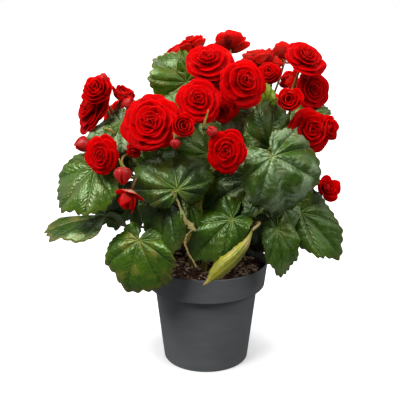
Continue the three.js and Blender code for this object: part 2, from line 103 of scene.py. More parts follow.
# The leaves of the CAD source. Some are moved, widened or narrowed here. The yellow one gives only its
# petiole, and YELLOW_LEAF is its blade.
LEAVES = {
    "left_broad": blade(
        [-105, -57, 219], [-139, -76, 194], [-0.35, -0.75, 0.55], wide=1.15, tone=0.8, fold=0.05, arch=0.25,
        wave=0.05,
    ),
    "left_level": blade(
        [-100, -35, 166], [-160, -20, 150], [-0.2, 0, 1], wide=0.8, tone=0.5, dry=0.4, droop=0.1, wave=0.12,
    ),
    "left_low": blade(
        [-64, -74, 153], [-78, -88, 109], [-0.3, -0.9, 0.35], wide=1.15, tone=0.68, dry=0.35, wave=0.1,
        curl=0.08, skew=0.12,
    ),
    "front_dark": blade(
        [-27, -88, 206], [-33, -72, 244], [0, -1, 0.3], wide=1.4, tone=0.35, arch=0.45, wave=0.12, curl=0.1,
        swell=0.03, bow=[10, 0, 10],
    ),
    "front_folded": blade(
        [-38, -66, 192], [-48, -84, 140], [-0.5, -0.8, 0.3], wide=0.75, tone=0.25, fold=0.55, wave=0.1,
    ),
    "front_low": blade(
        [23, -79, 175], [-14, -88, 144], [0, -0.8, 0.6], wide=0.88, dry=0.06, wave=0.12, skew=-0.1,
        bow=[0, -5, -5],
    ),
    "front_middle": blade(
        [44, -58, 207], [-2, -72, 190], [-0.1, -0.85, 0.55], wide=0.9, tone=0.15, wave=0.09,
    ),
    "right_broad": blade(
        [59, -78, 234], [82, -84, 186], [0.22, -0.83, 0.5], wide=1.3, tone=1.25, fold=0.05, arch=0.3,
        wave=0.1, curl=0.1, skew=0.22, swell=0.045, bow=[5, -5, 0],
    ),
    "right_upright": blade(
        [58, -50, 237], [32, -22, 280], [0, -0.9, 0.3], wide=1.3, tone=1.35, fold=0.15, arch=0.6, wave=0.12,
        skew=0.25, swell=0.045,
    ),
    "right_outer": blade(
        [93, -32, 168], [140, -38, 130], [0.2, -0.85, 0.5], wide=0.75, tone=0.75, wave=0.09,
    ),
    "right_low": blade([68, -58, 158], [76, -72, 117], [0.2, -0.95, 0.3], wide=0.64, tone=1.0),
    "top_left": blade(
        [-20, -8, 294], [-48, -4, 319], [-0.35, -0.8, 0.5], wide=1.1, tone=0.7, dry=0.3, fold=0.3,
        wave=0.13,
    ),
    "left_upper": blade(
        [-80, -48, 260], [-114, -50, 247], [-0.3, -0.6, 0.75], wide=1.15, tone=1.35, wave=0.1,
    ),
    "yellow": blade([42, -66, 166], [-1, -97, 118], [0.6, -0.5, 0.6]),
    "right_top": blade([94, -8, 259], [122, -4, 272], [0.3, -0.6, 0.75], wide=0.9, tone=0.75),
    "front_upper": blade([-27, -40, 230], [-36, -38, 263], [-0.1, -0.9, 0.4], tone=0.5, wave=0.12),
    "front_small": blade(
        [-16, -74, 187], [-19, -86, 156], [0.2, -0.9, 0.4], wide=0.6, tone=0.5, dry=0.8, wave=0.15,
    ),
    "back_left_low": blade([-78, 58, 172], [-112, 84, 134], [-0.5, 0.6, 0.6], wide=1.1),
    "back_low": blade([-12, 84, 168], [-18, 112, 128], [-0.1, 0.85, 0.5], wide=1.1),
    "back_right_low": blade([66, 66, 172], [94, 96, 134], [0.4, 0.7, 0.6], wide=1.1),
    "back_left": blade([-66, 66, 232], [-98, 98, 212], [-0.4, 0.6, 0.7], wide=1.1),
    "back_middle": blade([2, 88, 222], [4, 116, 178], [0.1, 0.85, 0.5], wide=1.1),
    "back_right": blade([72, 62, 236], [108, 84, 212], [0.5, 0.5, 0.7], wide=1.1),
    "left_back": blade([-100, 14, 222], [-142, 26, 194], [-0.6, 0.1, 0.8], wide=1.05),
    "right_back": blade([76, 8, 226], [110, 22, 194], [0.7, 0.2, 0.7]),
    "top_back": blade([-6, 40, 290], [-10, 82, 304], [-0.1, 0.2, 1]),
}
# Smaller leaves inside the plant and at its sides, which the CAD source leaves out. The darkest of them
# are painted shade: their low tone stands for the shadow inside the plant.
INNER_LEAVES = {
    "upper_middle": blade([1, -58, 233], [-10, -57, 266], [0.1, -0.9, 0.4], wide=1.1, tone=0.9, wave=0.14),
    "young": blade([56, -38, 276], [53, -38, 297], [0, -0.95, 0.3], wide=0.8, tone=1.6, fold=0.5),
    "upright_half": blade(
        [58, -50, 237], [70, -44, 280], [0.6, -0.8, 0], wide=0.95, tone=0.4, fold=0.3, arch=0.6,
    ),
    "middle": blade([-4, -60, 221], [-16, -62, 246], [0.1, -0.9, 0.45], wide=1.5, tone=0.8, wave=0.14),
    "top": blade([-15, -4, 302], [-20, -2, 327], [0.3, -0.8, 0.5], wide=0.7, tone=0.7),
    "right_high": blade([90, -22, 252], [114, -20, 270], [0.2, -0.8, 0.6], tone=0.7),
    "left_of_middle": blade([-29, -56, 259], [-25, -52, 291], [0, -0.9, 0.4], wide=0.9, tone=0.7),
    "under_large": blade([-53, -60, 220], [-58, -58, 246], [0, -0.85, 0.5], tone=0.5),
    "right_gap": blade([63, -18, 154], [52, -18, 124], [0, -0.9, 0.4], wide=1.2, tone=0.05),
    "low_gap_right": blade([62, 14, 142], [51, 10, 114], [0, -0.9, 0.4], wide=1.4, tone=0.1),
    "low_gap": blade([43, -16, 162], [36, -20, 128], [0, -0.9, 0.4], wide=1.1, tone=0.1),
    "right_gap_light": blade([74, -46, 178], [86, -52, 160], [0.2, -0.8, 0.5], tone=1.3),
    "left_gap": blade([-72, -50, 226], [-86, -56, 246], [0, -0.8, 0.6], wide=1.1, tone=0.6),
    "left_dark": blade([-80, -44, 200], [-98, -50, 180], [-0.2, -0.8, 0.6], tone=0.1),
    "right_dark": blade([50, -46, 190], [34, -56, 212], [0.1, -0.85, 0.5], tone=0.3),
    "centre": blade([4, -14, 250], [2, -12, 284], [0, -0.9, 0.4], wide=1.2, tone=0.1),
    "centre_right": blade([32, -24, 256], [38, -20, 288], [0.2, -0.8, 0.5], tone=0.2),
    "right_middle_front": blade([64, -22, 238], [86, -16, 206], [0.9, -0.2, 0.4], tone=0.3),
    "right_middle_back": blade([56, 32, 240], [82, 46, 212], [0.8, 0.3, 0.5], tone=0.3),
    "right_up": blade([60, 8, 270], [86, 6, 252], [0.8, 0, 0.6], tone=0.4),
    "left_middle_front": blade([-66, -20, 240], [-90, -18, 210], [-0.9, -0.2, 0.4], tone=0.3),
    "left_up": blade([-62, 8, 268], [-86, 4, 250], [-0.8, 0, 0.6], tone=0.4),
    "back_gap": blade([12, 22, 262], [50, 32, 254], [0, -0.1, 1], wide=1.1, tone=0.4),
    "back_up": blade([0, 60, 276], [4, 88, 256], [0, 0.8, 0.6], tone=0.5),
    "right_side": blade([88, 0, 196], [116, 8, 160], [0.85, 0.05, 0.5], tone=0.4),
    "right_side_high": blade([72, 26, 262], [100, 36, 242], [0.7, 0.3, 0.7], tone=0.5),
    "right_side_low": blade([60, 14, 186], [86, 24, 152], [0.8, 0.3, 0.5], tone=0.3),
    "right_deep": blade([44, 6, 236], [64, 12, 204], [0.9, 0, 0.4], tone=0.1),
    "left_side": blade([-86, -8, 200], [-114, -6, 166], [-0.8, 0, 0.6], tone=0.4),
    "left_side_high": blade([-78, 26, 258], [-106, 40, 236], [-0.6, 0.2, 0.7], tone=0.5),
    "left_side_low": blade([-58, 12, 186], [-84, 22, 150], [-0.8, 0.3, 0.5], tone=0.3),
    "left_deep": blade([-44, 4, 236], [-64, 10, 204], [-0.9, 0, 0.4], tone=0.1),
    "back_centre": blade([4, 50, 238], [8, 64, 202], [0, 0.9, 0.4], wide=1.2, tone=0.3),
    "back_left_inner": blade([-36, 58, 198], [-46, 80, 164], [-0.3, 0.8, 0.5], tone=0.3),
    "back_right_inner": blade([36, 60, 200], [46, 80, 166], [0.3, 0.8, 0.5], tone=0.3),
    "high_back": blade([30, 34, 288], [44, 58, 300], [0.2, 0.3, 1], tone=0.5),
    "high_left": blade([-48, -6, 270], [-74, -10, 281], [-0.3, -0.2, 1], tone=1.5),
}


def curl(route, widths, face=(0, -1, 0.3), turn=0.7, ragged=0.05):
    """A rolled-up form: the route of its spine, [share of the length, half the width] rows, where its
    back looks, how far it is rolled, and how uneven its edges are."""
    return {"route": route, "widths": widths, "face": face, "turn": turn, "ragged": ragged}


YELLOW_LEAF = curl(
    [[41, -88, 168], [39, -100, 157], [22, -110, 145], [-3, -105, 120]],
    [(0, 1), (0.18, 2), (0.36, 4.8), (0.66, 7.8), (0.83, 7), (0.9, 3.4), (0.94, 1.8), (1, 0.9)],
    face=(0.35, -0.85, 0.35), turn=1.5,
)
# The yellow leaf's stalk and two dry strips.
STRIPS = {
    "yellow_stalk": curl(
        [[42, -66, 166], [53, -73, 173], [50, -88, 176], [41, -88, 168]], [(0, 1.1), (1, 1.1)], turn=2.6,
    ),
    "withered_edge": curl(
        [[-32, -89, 205], [-24, -92, 196], [-22, -96, 178], [-10, -97, 170]],
        [(0, 0.5), (0.3, 0.7), (0.6, 0.6), (0.85, 3), (1, 0.8)],
        face=(0.3, -1, 0.2), turn=2.4, ragged=0.35,
    ),
    "withered_tail": curl(
        [[-13, -97, 171], [-26, -98, 160], [-17, -99, 150], [-9, -99, 135]],
        [(0, 0.6), (0.3, 0.8), (0.6, 0.6), (1, 0.5)],
        face=(0.3, -1, 0.2), turn=2.4, ragged=0.35,
    ),
}
BRACTS = {
    "bract_middle": curl(
        [[-4, -88, 262], [-3, -89, 266], [-1, -89, 271], [1, -88, 278]], [(0, 0.5), (0.4, 1), (1, 0.3)],
    ),
    "bract_left": curl(
        [[-30, -95, 259], [-28, -96, 256], [-25, -96, 255], [-21, -95, 257]],
        [(0, 0.5), (0.4, 1.1), (1, 0.3)],
    ),
    "bract_side": curl(
        [[-84, -58, 250], [-88, -60, 256], [-92, -60, 258], [-96, -58, 257]],
        [(0, 0.7), (0.4, 1.5), (1, 0.3)], face=(0, -1, 0.5),
    ),
    "bract_low": curl(
        [[-70, -84, 218], [-74, -86, 224], [-77, -86, 228], [-79, -85, 234]],
        [(0, 0.7), (0.4, 2.1), (1, 0.3)],
    ),
}

# ---------- tables of blooms ----------

# squeeze narrows a bloom, a shade value darkens it as painted shade, for the blooms that lie in the
# plant's shadow at its back and sides, pale makes its petals' backs paler, and bow pushes its stalk aside.
# stem is the stem that it grows from, if that isn't the nearest.
BLOOM = {"squeeze": 1, "deep": 0, "pale": 1, "bow": [0, 0, 0], "stem": None}
# What the kinds of bloom have in common, if they say nothing else: how far the root of a bloom lies behind
# its middle, how pointed its petals are, how widely they lap, and how loosely they stand.
KIND = {"behind": 0.35, "pointed": 0, "spread": 1.3, "loose": 1}
# The whorls run from the outermost inwards, in shares of the bloom's radius. Each has a number of petals
# and the [radius, height] of a petal's root, middle and lip.
KINDS = {
    "large": {"whorls": [
        (6, [0.17, 0.07], [0.62, 0.1], [1.03, 0.14]),
        (6, [0.18, 0.12], [0.62, 0.17], [0.97, 0.24]),
        (5, [0.19, 0.18], [0.54, 0.27], [0.78, 0.37]),
        (4, [0.19, 0.25], [0.4, 0.37], [0.55, 0.47]),
        (4, [0.14, 0.32], [0.28, 0.43], [0.37, 0.54]),
        (4, [0.09, 0.37], [0.17, 0.48], [0.22, 0.58]),
        (3, [0.04, 0.4], [0.08, 0.5], [0.11, 0.59]),
    ]},
    "full": {"whorls": [
        (5, [0.17, 0.08], [0.64, 0.11], [1.04, 0.16]),
        (5, [0.18, 0.13], [0.6, 0.2], [0.93, 0.29]),
        (4, [0.2, 0.21], [0.48, 0.32], [0.68, 0.43]),
        (4, [0.15, 0.29], [0.32, 0.42], [0.43, 0.53]),
        (4, [0.1, 0.35], [0.19, 0.47], [0.26, 0.57]),
        (3, [0.04, 0.39], [0.09, 0.49], [0.13, 0.59]),
    ]},
    "open": {"whorls": [
        (5, [0.16, 0.04], [0.66, 0.16], [1.0, 0.5]),
        (5, [0.18, 0.14], [0.56, 0.34], [0.86, 0.74]),
        (4, [0.18, 0.24], [0.42, 0.48], [0.64, 0.88]),
        (4, [0.14, 0.32], [0.3, 0.56], [0.42, 0.92]),
        (3, [0.09, 0.38], [0.16, 0.6], [0.22, 0.9]),
    ]},
    "cup": {"whorls": [
        (4, [0.18, 0.06], [0.72, 0.3], [0.98, 0.86]),
        (4, [0.18, 0.16], [0.6, 0.46], [0.74, 1.02]),
        (4, [0.16, 0.26], [0.42, 0.56], [0.5, 1.08]),
        (3, [0.11, 0.36], [0.24, 0.64], [0.28, 1.04]),
    ]},
    "nodding": {"pointed": 0.3, "spread": 0.9, "whorls": [
        (3, [0.2, 0.1], [0.7, 0.34], [1.15, 0.5]),
        (3, [0.2, 0.2], [0.56, 0.8], [0.5, 1.6]),
        (3, [0.15, 0.3], [0.4, 0.8], [0.3, 1.55]),
    ]},
    "half": {"pointed": 0.3, "spread": 1.2, "loose": 1.6, "whorls": [
        (4, [0.2, 0.1], [0.66, 0.22], [1.0, 0.62]),
        (4, [0.2, 0.2], [0.56, 0.46], [0.8, 0.98]),
        (3, [0.18, 0.32], [0.38, 0.62], [0.46, 1.1]),
        (3, [0.12, 0.42], [0.2, 0.68], [0.22, 1.06]),
    ]},
    "bud": {"behind": 0.9, "pointed": 0.12, "spread": 1.15, "loose": 0, "whorls": [
        (3, [0.4, 0.1], [0.98, 0.95], [0.12, 2.1]),
        (3, [0.3, 0.3], [0.88, 1.0], [0.05, 2.0]),
    ]},
}


def flower(at, faces, radius, kind="full", **own):
    """A bloom: its middle, where it looks, its radius and kind, and what sets it apart."""
    return {**BLOOM, **KIND, **KINDS[kind], "at": at, "faces": faces, "radius": radius, "kind": kind, **own}


# The blooms and buds of the CAD source. Some are moved, larger or of another kind here.
BLOOMS = {
    "front_large": flower([-51, -85, 268], [-0.15, -0.85, 0.45], 27, "large", stem="left"),
    "front_middle": flower([-7, -82, 286], [0.05, -0.85, 0.4], 21, bow=[5, -5, 0]),
    "top": flower([2, -50, 319], [-0.05, -0.6, 0.75], 23),
    "front_right": flower([33, -66, 300], [0.3, -0.85, 0.35], 22.5),
    "front_low": flower([17, -102, 244], [0, -1, 0.1], 20, squeeze=0.86),
    "left_low": flower([-97, -78, 236], [-0.25, -0.95, 0.15], 19, squeeze=0.88),
    "left_side": flower(
        [-112, -24, 275], [-0.8, -0.35, 0.45], 30, "large", spread=1.6, deep=0.8, bow=[0, 5, -5],
    ),
    "back_top": flower([25, 22, 329], [0.1, 0.55, 0.8], 18, "open", deep=0.5),
    "top_left": flower([-14, 12, 328], [-0.3, 0.2, 0.9], 16, "open", deep=0.6, bow=[0, 5, 0]),
    "right_top": flower([95, -22, 320], [0.25, -0.6, 0.7], 20.5, deep=0.3),
    "right_upper": flower([105, -16, 288], [0.45, -0.85, 0.2], 20, deep=0.6),
    "right_middle": flower([100, -38, 251], [0.3, -0.9, 0.25], 22.5, deep=0.4),
    "back_right_top": flower([51, 16, 314], [-0.2, 0.3, 0.9], 17.5, "open", deep=0.6, pale=3),
    "back_right_high": flower([81, 32, 318], [0.2, 0.6, 0.8], 17, "open", deep=0.7),
    "right_small": flower([78, -44, 280], [-0.2, -0.85, 0.5], 12.5, "cup", deep=0.4, pale=2),
    "right_low": flower([121, -22, 190], [0.3, -0.8, 0.45], 14, "half", pale=1.5),
    "front_half": flower([-22, -94, 265], [0.3, -0.9, 0.3], 11, "cup", stem="left"),
    "front_hidden": flower([13, -60, 273], [0.1, -0.9, 0.1], 11, "half", deep=0.5),
    "left_small": flower([-82, -14, 281], [0.4, -0.3, 0.85], 12, "cup", deep=0.9),
    "left_hanging": flower([-70, -86, 202], [-0.3, -0.45, -0.85], 13, "nodding"),
    "back_left": flower([-72, 74, 246], [-0.5, 0.7, 0.5], 22, bow=[0, 0, 5]),
    "back_middle": flower([-4, 98, 268], [0, 0.9, 0.45], 23),
    "back_right": flower([66, 82, 260], [0.45, 0.8, 0.4], 20, "open", bow=[-5, 0, 0]),
    "back_high": flower([-27, 56, 312], [-0.2, 0.6, 0.8], 19, "open", deep=0.7, bow=[-5, 5, 5]),
    "left_outer": flower(
        [-117, -48, 240], [-0.8, -0.5, -0.1], 7.5, "bud", bow=[0, 0, -6], name="bud_left_outer",
    ),
    "left_bud_low": flower([-76, -88, 220], [0.1, -0.5, -0.8], 8, "bud", name="bud_left_low"),
    "left_high": flower([-71, -58, 280], [0.4, -0.4, 0.8], 6, "bud", bow=[5, 0, 0], name="bud_left_high"),
}
# Flowers that fill the plant between those of the CAD source.
INNER_BLOOMS = {
    "front": flower([16, -48, 276], [0.1, -0.9, 0.3], 15),
    "middle": flower([2, -46, 299], [0, -0.85, 0.5], 15),
    "middle_right": flower([19, -42, 294], [0.1, -0.85, 0.4], 13),
    "right": flower([60, -4, 301], [-0.1, -0.7, 0.7], 14, "open", pale=2),
    "right_behind": flower([67, 24, 309], [0, 0.2, 1], 13, "open", pale=3),
    "right_folded": flower([84, 4, 294], [-0.6, -0.4, 0.6], 11, "cup", pale=3),
    "right_outer": flower([117, -26, 252], [0.6, -0.7, 0.3], 13, "open", deep=0.7),
    "left_lifted": flower([-102, -44, 290], [-0.25, -0.75, 0.6], 15.5, "open", deep=0.6),
    "left_lobe": flower([-66, -72, 240], [-0.1, -0.8, -0.6], 8.5, "half"),
    "right_side": flower([97, 24, 284], [0.75, 0.35, 0.5], 17),
    "left_back": flower([-98, 34, 258], [-0.8, 0.4, 0.45], 18),
    "left_top_bud": flower([-97, -38, 301], [0.15, -0.2, 1], 4.6, "bud"),
    "pink_bud": flower([4, -99, 261], [-0.5, -0.5, 0.7], 5, "bud"),
    "middle_bud": flower([-28, -97, 250], [0.1, -0.6, -0.75], 4.6, "bud"),
    "left_bud": flower([-104, -52, 232], [-0.5, -0.6, -0.5], 4.4, "bud"),
    "back_bud": flower([30, 96, 250], [0.2, 0.7, -0.5], 5, "bud"),
}


# ---------- small vector tools ----------


def vec(values):
    return np.array(values, float)


def unit(v):
    return v / np.linalg.norm(v)


def layers(*values):
    """Joins values and grids of values into one grid, whose points hold one of each."""
    return np.stack(np.broadcast_arrays(*values), -1).astype(float)


def circle(sides):
    """Points of a level circle of radius 1."""
    angle = np.arange(sides) * TAU / sides
    return layers(np.cos(angle), np.sin(angle), 0)


def axes_at(forward, hint):
    """Rows are the local x, y and z axes: z along forward, and x as near as can be to the hint."""
    z = unit(forward)
    x = unit(hint - z * (hint @ z))
    return np.array([x, np.cross(z, x), z])


def bezier(corners, count):
    p0, p1, p2, p3 = (vec(c) for c in corners)
    t = np.linspace(0, 1, count)[:, None]
    return (1 - t) ** 3 * p0 + 3 * t * (1 - t) ** 2 * p1 + 3 * t * t * (1 - t) * p2 + t**3 * p3


def along_path(path, share):
    """The point and the direction at a share of a path's length."""
    steps = np.linalg.norm(np.diff(path, axis=0), axis=1)
    run = np.concatenate([[0], np.cumsum(steps)])
    goal = share * run[-1]
    i = min(int(np.searchsorted(run, goal, side="right")) - 1, len(steps) - 1)
    point = path[i] + (path[i + 1] - path[i]) * (goal - run[i]) / steps[i]
    return point, unit(path[i + 1] - path[i])


# ---------- meshes ----------


def add_object(name, data):
    thing = bpy.data.objects.new(name, data)
    bpy.context.scene.collection.objects.link(thing)
    return thing


class Skin:
    """Collects closed sheets, tubes and lathes into one mesh.

    Each vertex carries a uv pair and a look: four values that its material reads.
    """

    def __init__(self):
        self.points = []
        self.faces = []
        self.uvs = []
        self.looks = []
        self.count = 0

    def add(self, points, faces, uv, look):
        self.points.append(points)
        self.uvs.append(uv)
        self.looks.append(look)
        self.faces += [f + self.count for f in faces]
        self.count += len(points)

    def sheet(self, grid, thickness, uv, look, under_look=None):
        """A grid of points, rows by columns, made into a closed sheet of that thickness. Its upper side
        is the one from which the columns run anticlockwise as the rows run outwards."""
        rows, columns = grid.shape[:2]
        normal = np.cross(np.gradient(grid, axis=0), np.gradient(grid, axis=1))
        normal /= np.linalg.norm(normal, axis=2, keepdims=True) + 1e-12
        half = normal * thickness / 2
        index = np.arange(rows * columns).reshape(rows, columns)
        a, b = index[:-1, :-1].ravel(), index[:-1, 1:].ravel()
        c, d = index[1:, 1:].ravel(), index[1:, :-1].ravel()
        over = np.stack([d, c, b, a], 1)
        under = np.stack([a, b, c, d], 1) + rows * columns
        edge = np.concatenate([index[0, :-1], index[:-1, -1], index[-1, :0:-1], index[:0:-1, 0]])
        after = np.roll(edge, -1)
        rim = np.stack([edge, after, after + rows * columns, edge + rows * columns], 1)
        below = look if under_look is None else under_look
        self.add(
            np.concatenate([grid + half, grid - half]).reshape(-1, 3),
            [over, under, rim],
            np.concatenate([uv, uv]).reshape(-1, 2),
            np.concatenate([look, below]).reshape(-1, 4),
        )

    def rings(self, rings, look):
        """Closed rings of points, one after the other, joined into a tube whose ends are closed."""
        rings = np.asarray(rings, float)
        count, sides = rings.shape[:2]
        index = np.arange(count * sides).reshape(count, sides)
        turned = np.roll(index, -1, axis=1)
        wall = np.stack([index[:-1], turned[:-1], turned[1:], index[1:]], 2).reshape(-1, 4)
        hub = np.full(sides, count * sides)
        start = np.stack([index[0], hub, turned[0]], 1)
        end = np.stack([index[-1], turned[-1], hub + 1], 1)
        points = np.concatenate([rings.reshape(-1, 3), rings[[0, -1]].mean(1)])
        looks = np.broadcast_to(vec(look).reshape(-1, 1, 4), (count, sides, 4)).reshape(-1, 4)
        uvs = layers(np.tile(np.arange(sides) / sides, count), np.repeat(np.linspace(0, 1, count), sides))
        uvs = np.concatenate([uvs, [[0.5, 0], [0.5, 1]]])
        self.add(points, [wall, start, end], uvs, np.concatenate([looks, looks[[0, -1]]]))

    def tube(self, path, radii, look, sides=8):
        tangent = np.gradient(path, axis=0)
        tangent /= np.linalg.norm(tangent, axis=1, keepdims=True)
        normal = np.cross(tangent[0], vec([0.31, 0.87, 0.38]))
        angle = np.arange(sides) * TAU / sides
        rings = []
        for point, ahead, radius in zip(path, tangent, radii):
            normal = unit(normal - ahead * (normal @ ahead))
            side = np.cross(ahead, normal)
            ring = np.outer(np.cos(angle), normal) + np.outer(np.sin(angle), side)
            rings.append(point + radius * ring)
        self.rings(rings, look)

    def lathe(self, profile, sides, look=(0, 0, 0, 0), axes=np.eye(3), origin=(0, 0, 0)):
        """A closed body of revolution. The profile is [radius, height] pairs."""
        rings = [r * circle(sides) + z * UP for r, z in profile]
        self.rings(np.asarray(rings) @ axes + vec(origin), look)

    def build(self, name, material, slot, *nodes):
        """Makes the Blender object, in metres, and puts it in the place of its CAD nodes."""
        mesh = bpy.data.meshes.new(name)
        points = np.concatenate(self.points) * MM
        sizes = np.concatenate([np.full(len(f), f.shape[1]) for f in self.faces])
        corners = np.concatenate([f.ravel() for f in self.faces])
        mesh.vertices.add(len(points))
        mesh.vertices.foreach_set("co", points.astype(np.float32).ravel())
        mesh.loops.add(len(corners))
        mesh.loops.foreach_set("vertex_index", corners.astype(np.int32))
        mesh.polygons.add(len(sizes))
        starts = np.concatenate([[0], np.cumsum(sizes)[:-1]])
        mesh.polygons.foreach_set("loop_start", starts.astype(np.int32))
        mesh.polygons.foreach_set("use_smooth", np.ones(len(sizes), bool))
        mesh.update(calc_edges=True)
        uv = np.concatenate(self.uvs)[corners]
        mesh.uv_layers.new(name="UVMap").data.foreach_set("uv", uv.astype(np.float32).ravel())
        look = mesh.attributes.new("look", "FLOAT_COLOR", "POINT")
        look.data.foreach_set("color", np.concatenate(self.looks).astype(np.float32).ravel())
        mesh.materials.append(material)
        piece = add_object(name, mesh)
        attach(piece, "root")
        if nodes:
            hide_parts(*nodes)
        return piece


# ---------- materials ----------


class Signal:
    """What one output of a finish's node gives. Sums and products of signals and numbers become math
    nodes, and square brackets pick another output of the same node."""

    def __init__(self, finish, node, output=0):
        self.finish = finish
        self.node = node
        self.socket = node.outputs[output]

    def __getitem__(self, output):
        return Signal(self.finish, self.node, output)

    def __add__(self, other):
        return self.finish.math("ADD", self, other)

    def __sub__(self, other):
        return self.finish.math("SUBTRACT", self, other)

    def __rsub__(self, other):
        return self.finish.math("SUBTRACT", other, self)

    def __mul__(self, other):
        return self.finish.math("MULTIPLY", self, other)

    def __pow__(self, other):
        return self.finish.math("POWER", self, other)


class Finish:
    """A material on one Principled shader, with short calls for the nodes that feed it."""

    def __init__(self, name):
        self.material = bpy.data.materials.new(name)
        self.material.use_nodes = True
        self.tree = self.material.node_tree
        self.shader = self.tree.nodes["Principled BSDF"]

    def feed(self, value, socket):
        if isinstance(value, Signal):
            self.tree.links.new(value.socket, socket)
        elif isinstance(value, tuple) and socket.type == "RGBA":
            socket.default_value = (*value, 1)
        else:
            socket.default_value = value

    def set(self, **values):
        for key, value in values.items():
            self.feed(value, self.shader.inputs[key.replace("_", " ")])

    def node(self, kind, inputs=(), **settings):
        """A node with its settings, and its inputs by name or by number."""
        node = self.tree.nodes.new(kind)
        for key, value in settings.items():
            setattr(node, key, value)
        for key, value in dict(inputs).items():
            self.feed(value, node.inputs[key])
        return Signal(self, node)

    def math(self, operation, a, b=0.0, clamp=False):
        return self.node("ShaderNodeMath", {0: a, 1: b}, operation=operation, use_clamp=clamp)

    def ramp(self, value, low, high, to_low=0.0, to_high=1.0):
        """Maps a value smoothly from one range to another, and holds it there."""
        inputs = enumerate([value, low, high, to_low, to_high])
        return self.node("ShaderNodeMapRange", inputs, interpolation_type="SMOOTHSTEP")

    def mix(self, share, a, b):
        return self.node("ShaderNodeMix", {0: share, 6: a, 7: b}, data_type="RGBA")[2]

    def place(self):
        return self.node("ShaderNodeTexCoord")["Object"]

    def noise(self, scale, detail=3.0, where=None, stretch=None):
        """Noise in the object's own space, or over other coordinates; scale is cells in a metre."""
        where = where or self.place()
        if stretch:
            where = self.node("ShaderNodeMapping", {"Vector": where, "Scale": stretch})
        return self.node("ShaderNodeTexNoise", {"Vector": where, "Scale": scale, "Detail": detail})

    def cells(self, scale):
        """How far a point lies from the edge of its cell, in cells; scale is cells in a metre."""
        wander = self.noise(scale * 0.7, 2.0)["Color"]
        inputs = {"Vector": self.mix(0.002, self.place(), wander), "Scale": scale}
        return self.node("ShaderNodeTexVoronoi", inputs, feature="DISTANCE_TO_EDGE")["Distance"]

    def look(self):
        """The four values that each vertex carries."""
        source = self.node("ShaderNodeAttribute", attribute_name="look")
        parts = self.node("ShaderNodeSeparateColor", {"Color": source["Color"]})
        return parts[0], parts[1], parts[2], source["Alpha"]

    def bump(self, height, distance, strength):
        return self.node("ShaderNodeBump", {"Height": height, "Distance": distance, "Strength": strength})


# Main veins fan out from the joint, this angle apart, and bend as they go. Side veins leave them, so many
# in a leaf's length. A blade puffs up between its veins by this share of its length.
VEIN = {"spacing": 0.7, "ribs": 10.5, "bend": 0.16, "puff": 0.006}


def leaf_finish(
    name, dark, light, dry_colour, vein_colour, underside=None, painted_highlight_colour=None, gloss=0.8, relief=0.0009
):
    """Look: tone, share of the way to the margin, underside, dryness. A low tone is painted shade, and a
    tone above 0.8 paints a silvery highlight. The uv gives the way from the nearest main vein, in leaf
    lengths, and a count of side veins."""
    f = Finish(name)
    tone, share, under, dry = f.look()
    uv = f.node("ShaderNodeSeparateXYZ", {0: f.node("ShaderNodeUVMap")})
    aside, ribs = uv[0], uv[1]
    cells = f.cells(330)
    patches = f.noise(48)
    mottle = f.noise(300)
    main = f.ramp(aside, 0.003, 0.02, 1.0, 0.0)
    near = f.ramp(aside, 0.04, 0.16, 1.0, 0.3)
    to_rib = f.math("ABSOLUTE", f.math("FRACT", ribs + f.noise(90) * 2.2) - 0.5)
    side = f.ramp(to_rib, 0.015, 0.13, 1.0, 0.0) * near
    dome = 1.0 - near * (1.0 - (to_rib * 2.0) ** 0.6)

    shade = f.math("MINIMUM", tone, 0.7) * 0.75 + (patches - 0.5) * 1.1
    green = f.mix(f.math("ADD", shade, (mottle - 0.5) * 0.4, clamp=True), dark, light)
    # Painted highlight: a silvery highlight painted onto the raised panels between the veins of the
    # brightest leaves, where the lamps' gloss would light them.
    painted_highlight = f.ramp(tone, 0.8, 1.6) * f.ramp(patches, 0.44, 0.6) * f.ramp(dome, 0.2, 0.8, 0.3, 1.0)
    green = f.mix(painted_highlight, green, painted_highlight_colour or light)
    # Painted shade: the green darkens in the creases at the cells' edges and along the sunken veins, where
    # shade would fall.
    green = f.mix(f.ramp(cells, 0.0, 0.12, 1.0, 0.0) * 0.4, green, dark)
    painted_crease_shade = f.math("MAXIMUM", side, main * f.ramp(share, 0.3, 0.7))
    green = f.mix(painted_crease_shade * 0.55, green, dark)
    green = f.mix(main * f.ramp(share, 0.0, 0.5, 0.6, 0.0), green, vein_colour)
    green = f.mix(f.ramp(share, 0.965, 0.995) * 0.35, green, vein_colour)
    spots = f.ramp(f.noise(60, 2.0), 0.5, 0.68)
    withered = f.math("MULTIPLY", dry, f.math("MAXIMUM", f.ramp(share, 0.88, 1.0), spots), clamp=True)
    green = f.mix(withered, green, dry_colour)
    if underside:
        green = f.mix(under, green, underside)

    height = f.ramp(aside, 0.002, 0.035) * (dome * 0.4 + 0.6)
    height = height + f.ramp(cells, 0.0, 0.4) * 0.14 + f.noise(500) * 0.25
    f.set(
        Base_Color=green,
        Roughness=f.ramp(mottle, 0.3, 0.7, 0.33, 0.42),
        Normal=f.bump(height, relief, 0.85),
        Specular_IOR_Level=gloss,
        Specular_Tint=(0.75, 1.0, 0.55),
        Subsurface_Weight=0.1,
        Subsurface_Radius=(0.4, 0.7, 0.05),
        Subsurface_Scale=0.002,
    )
    return f.material


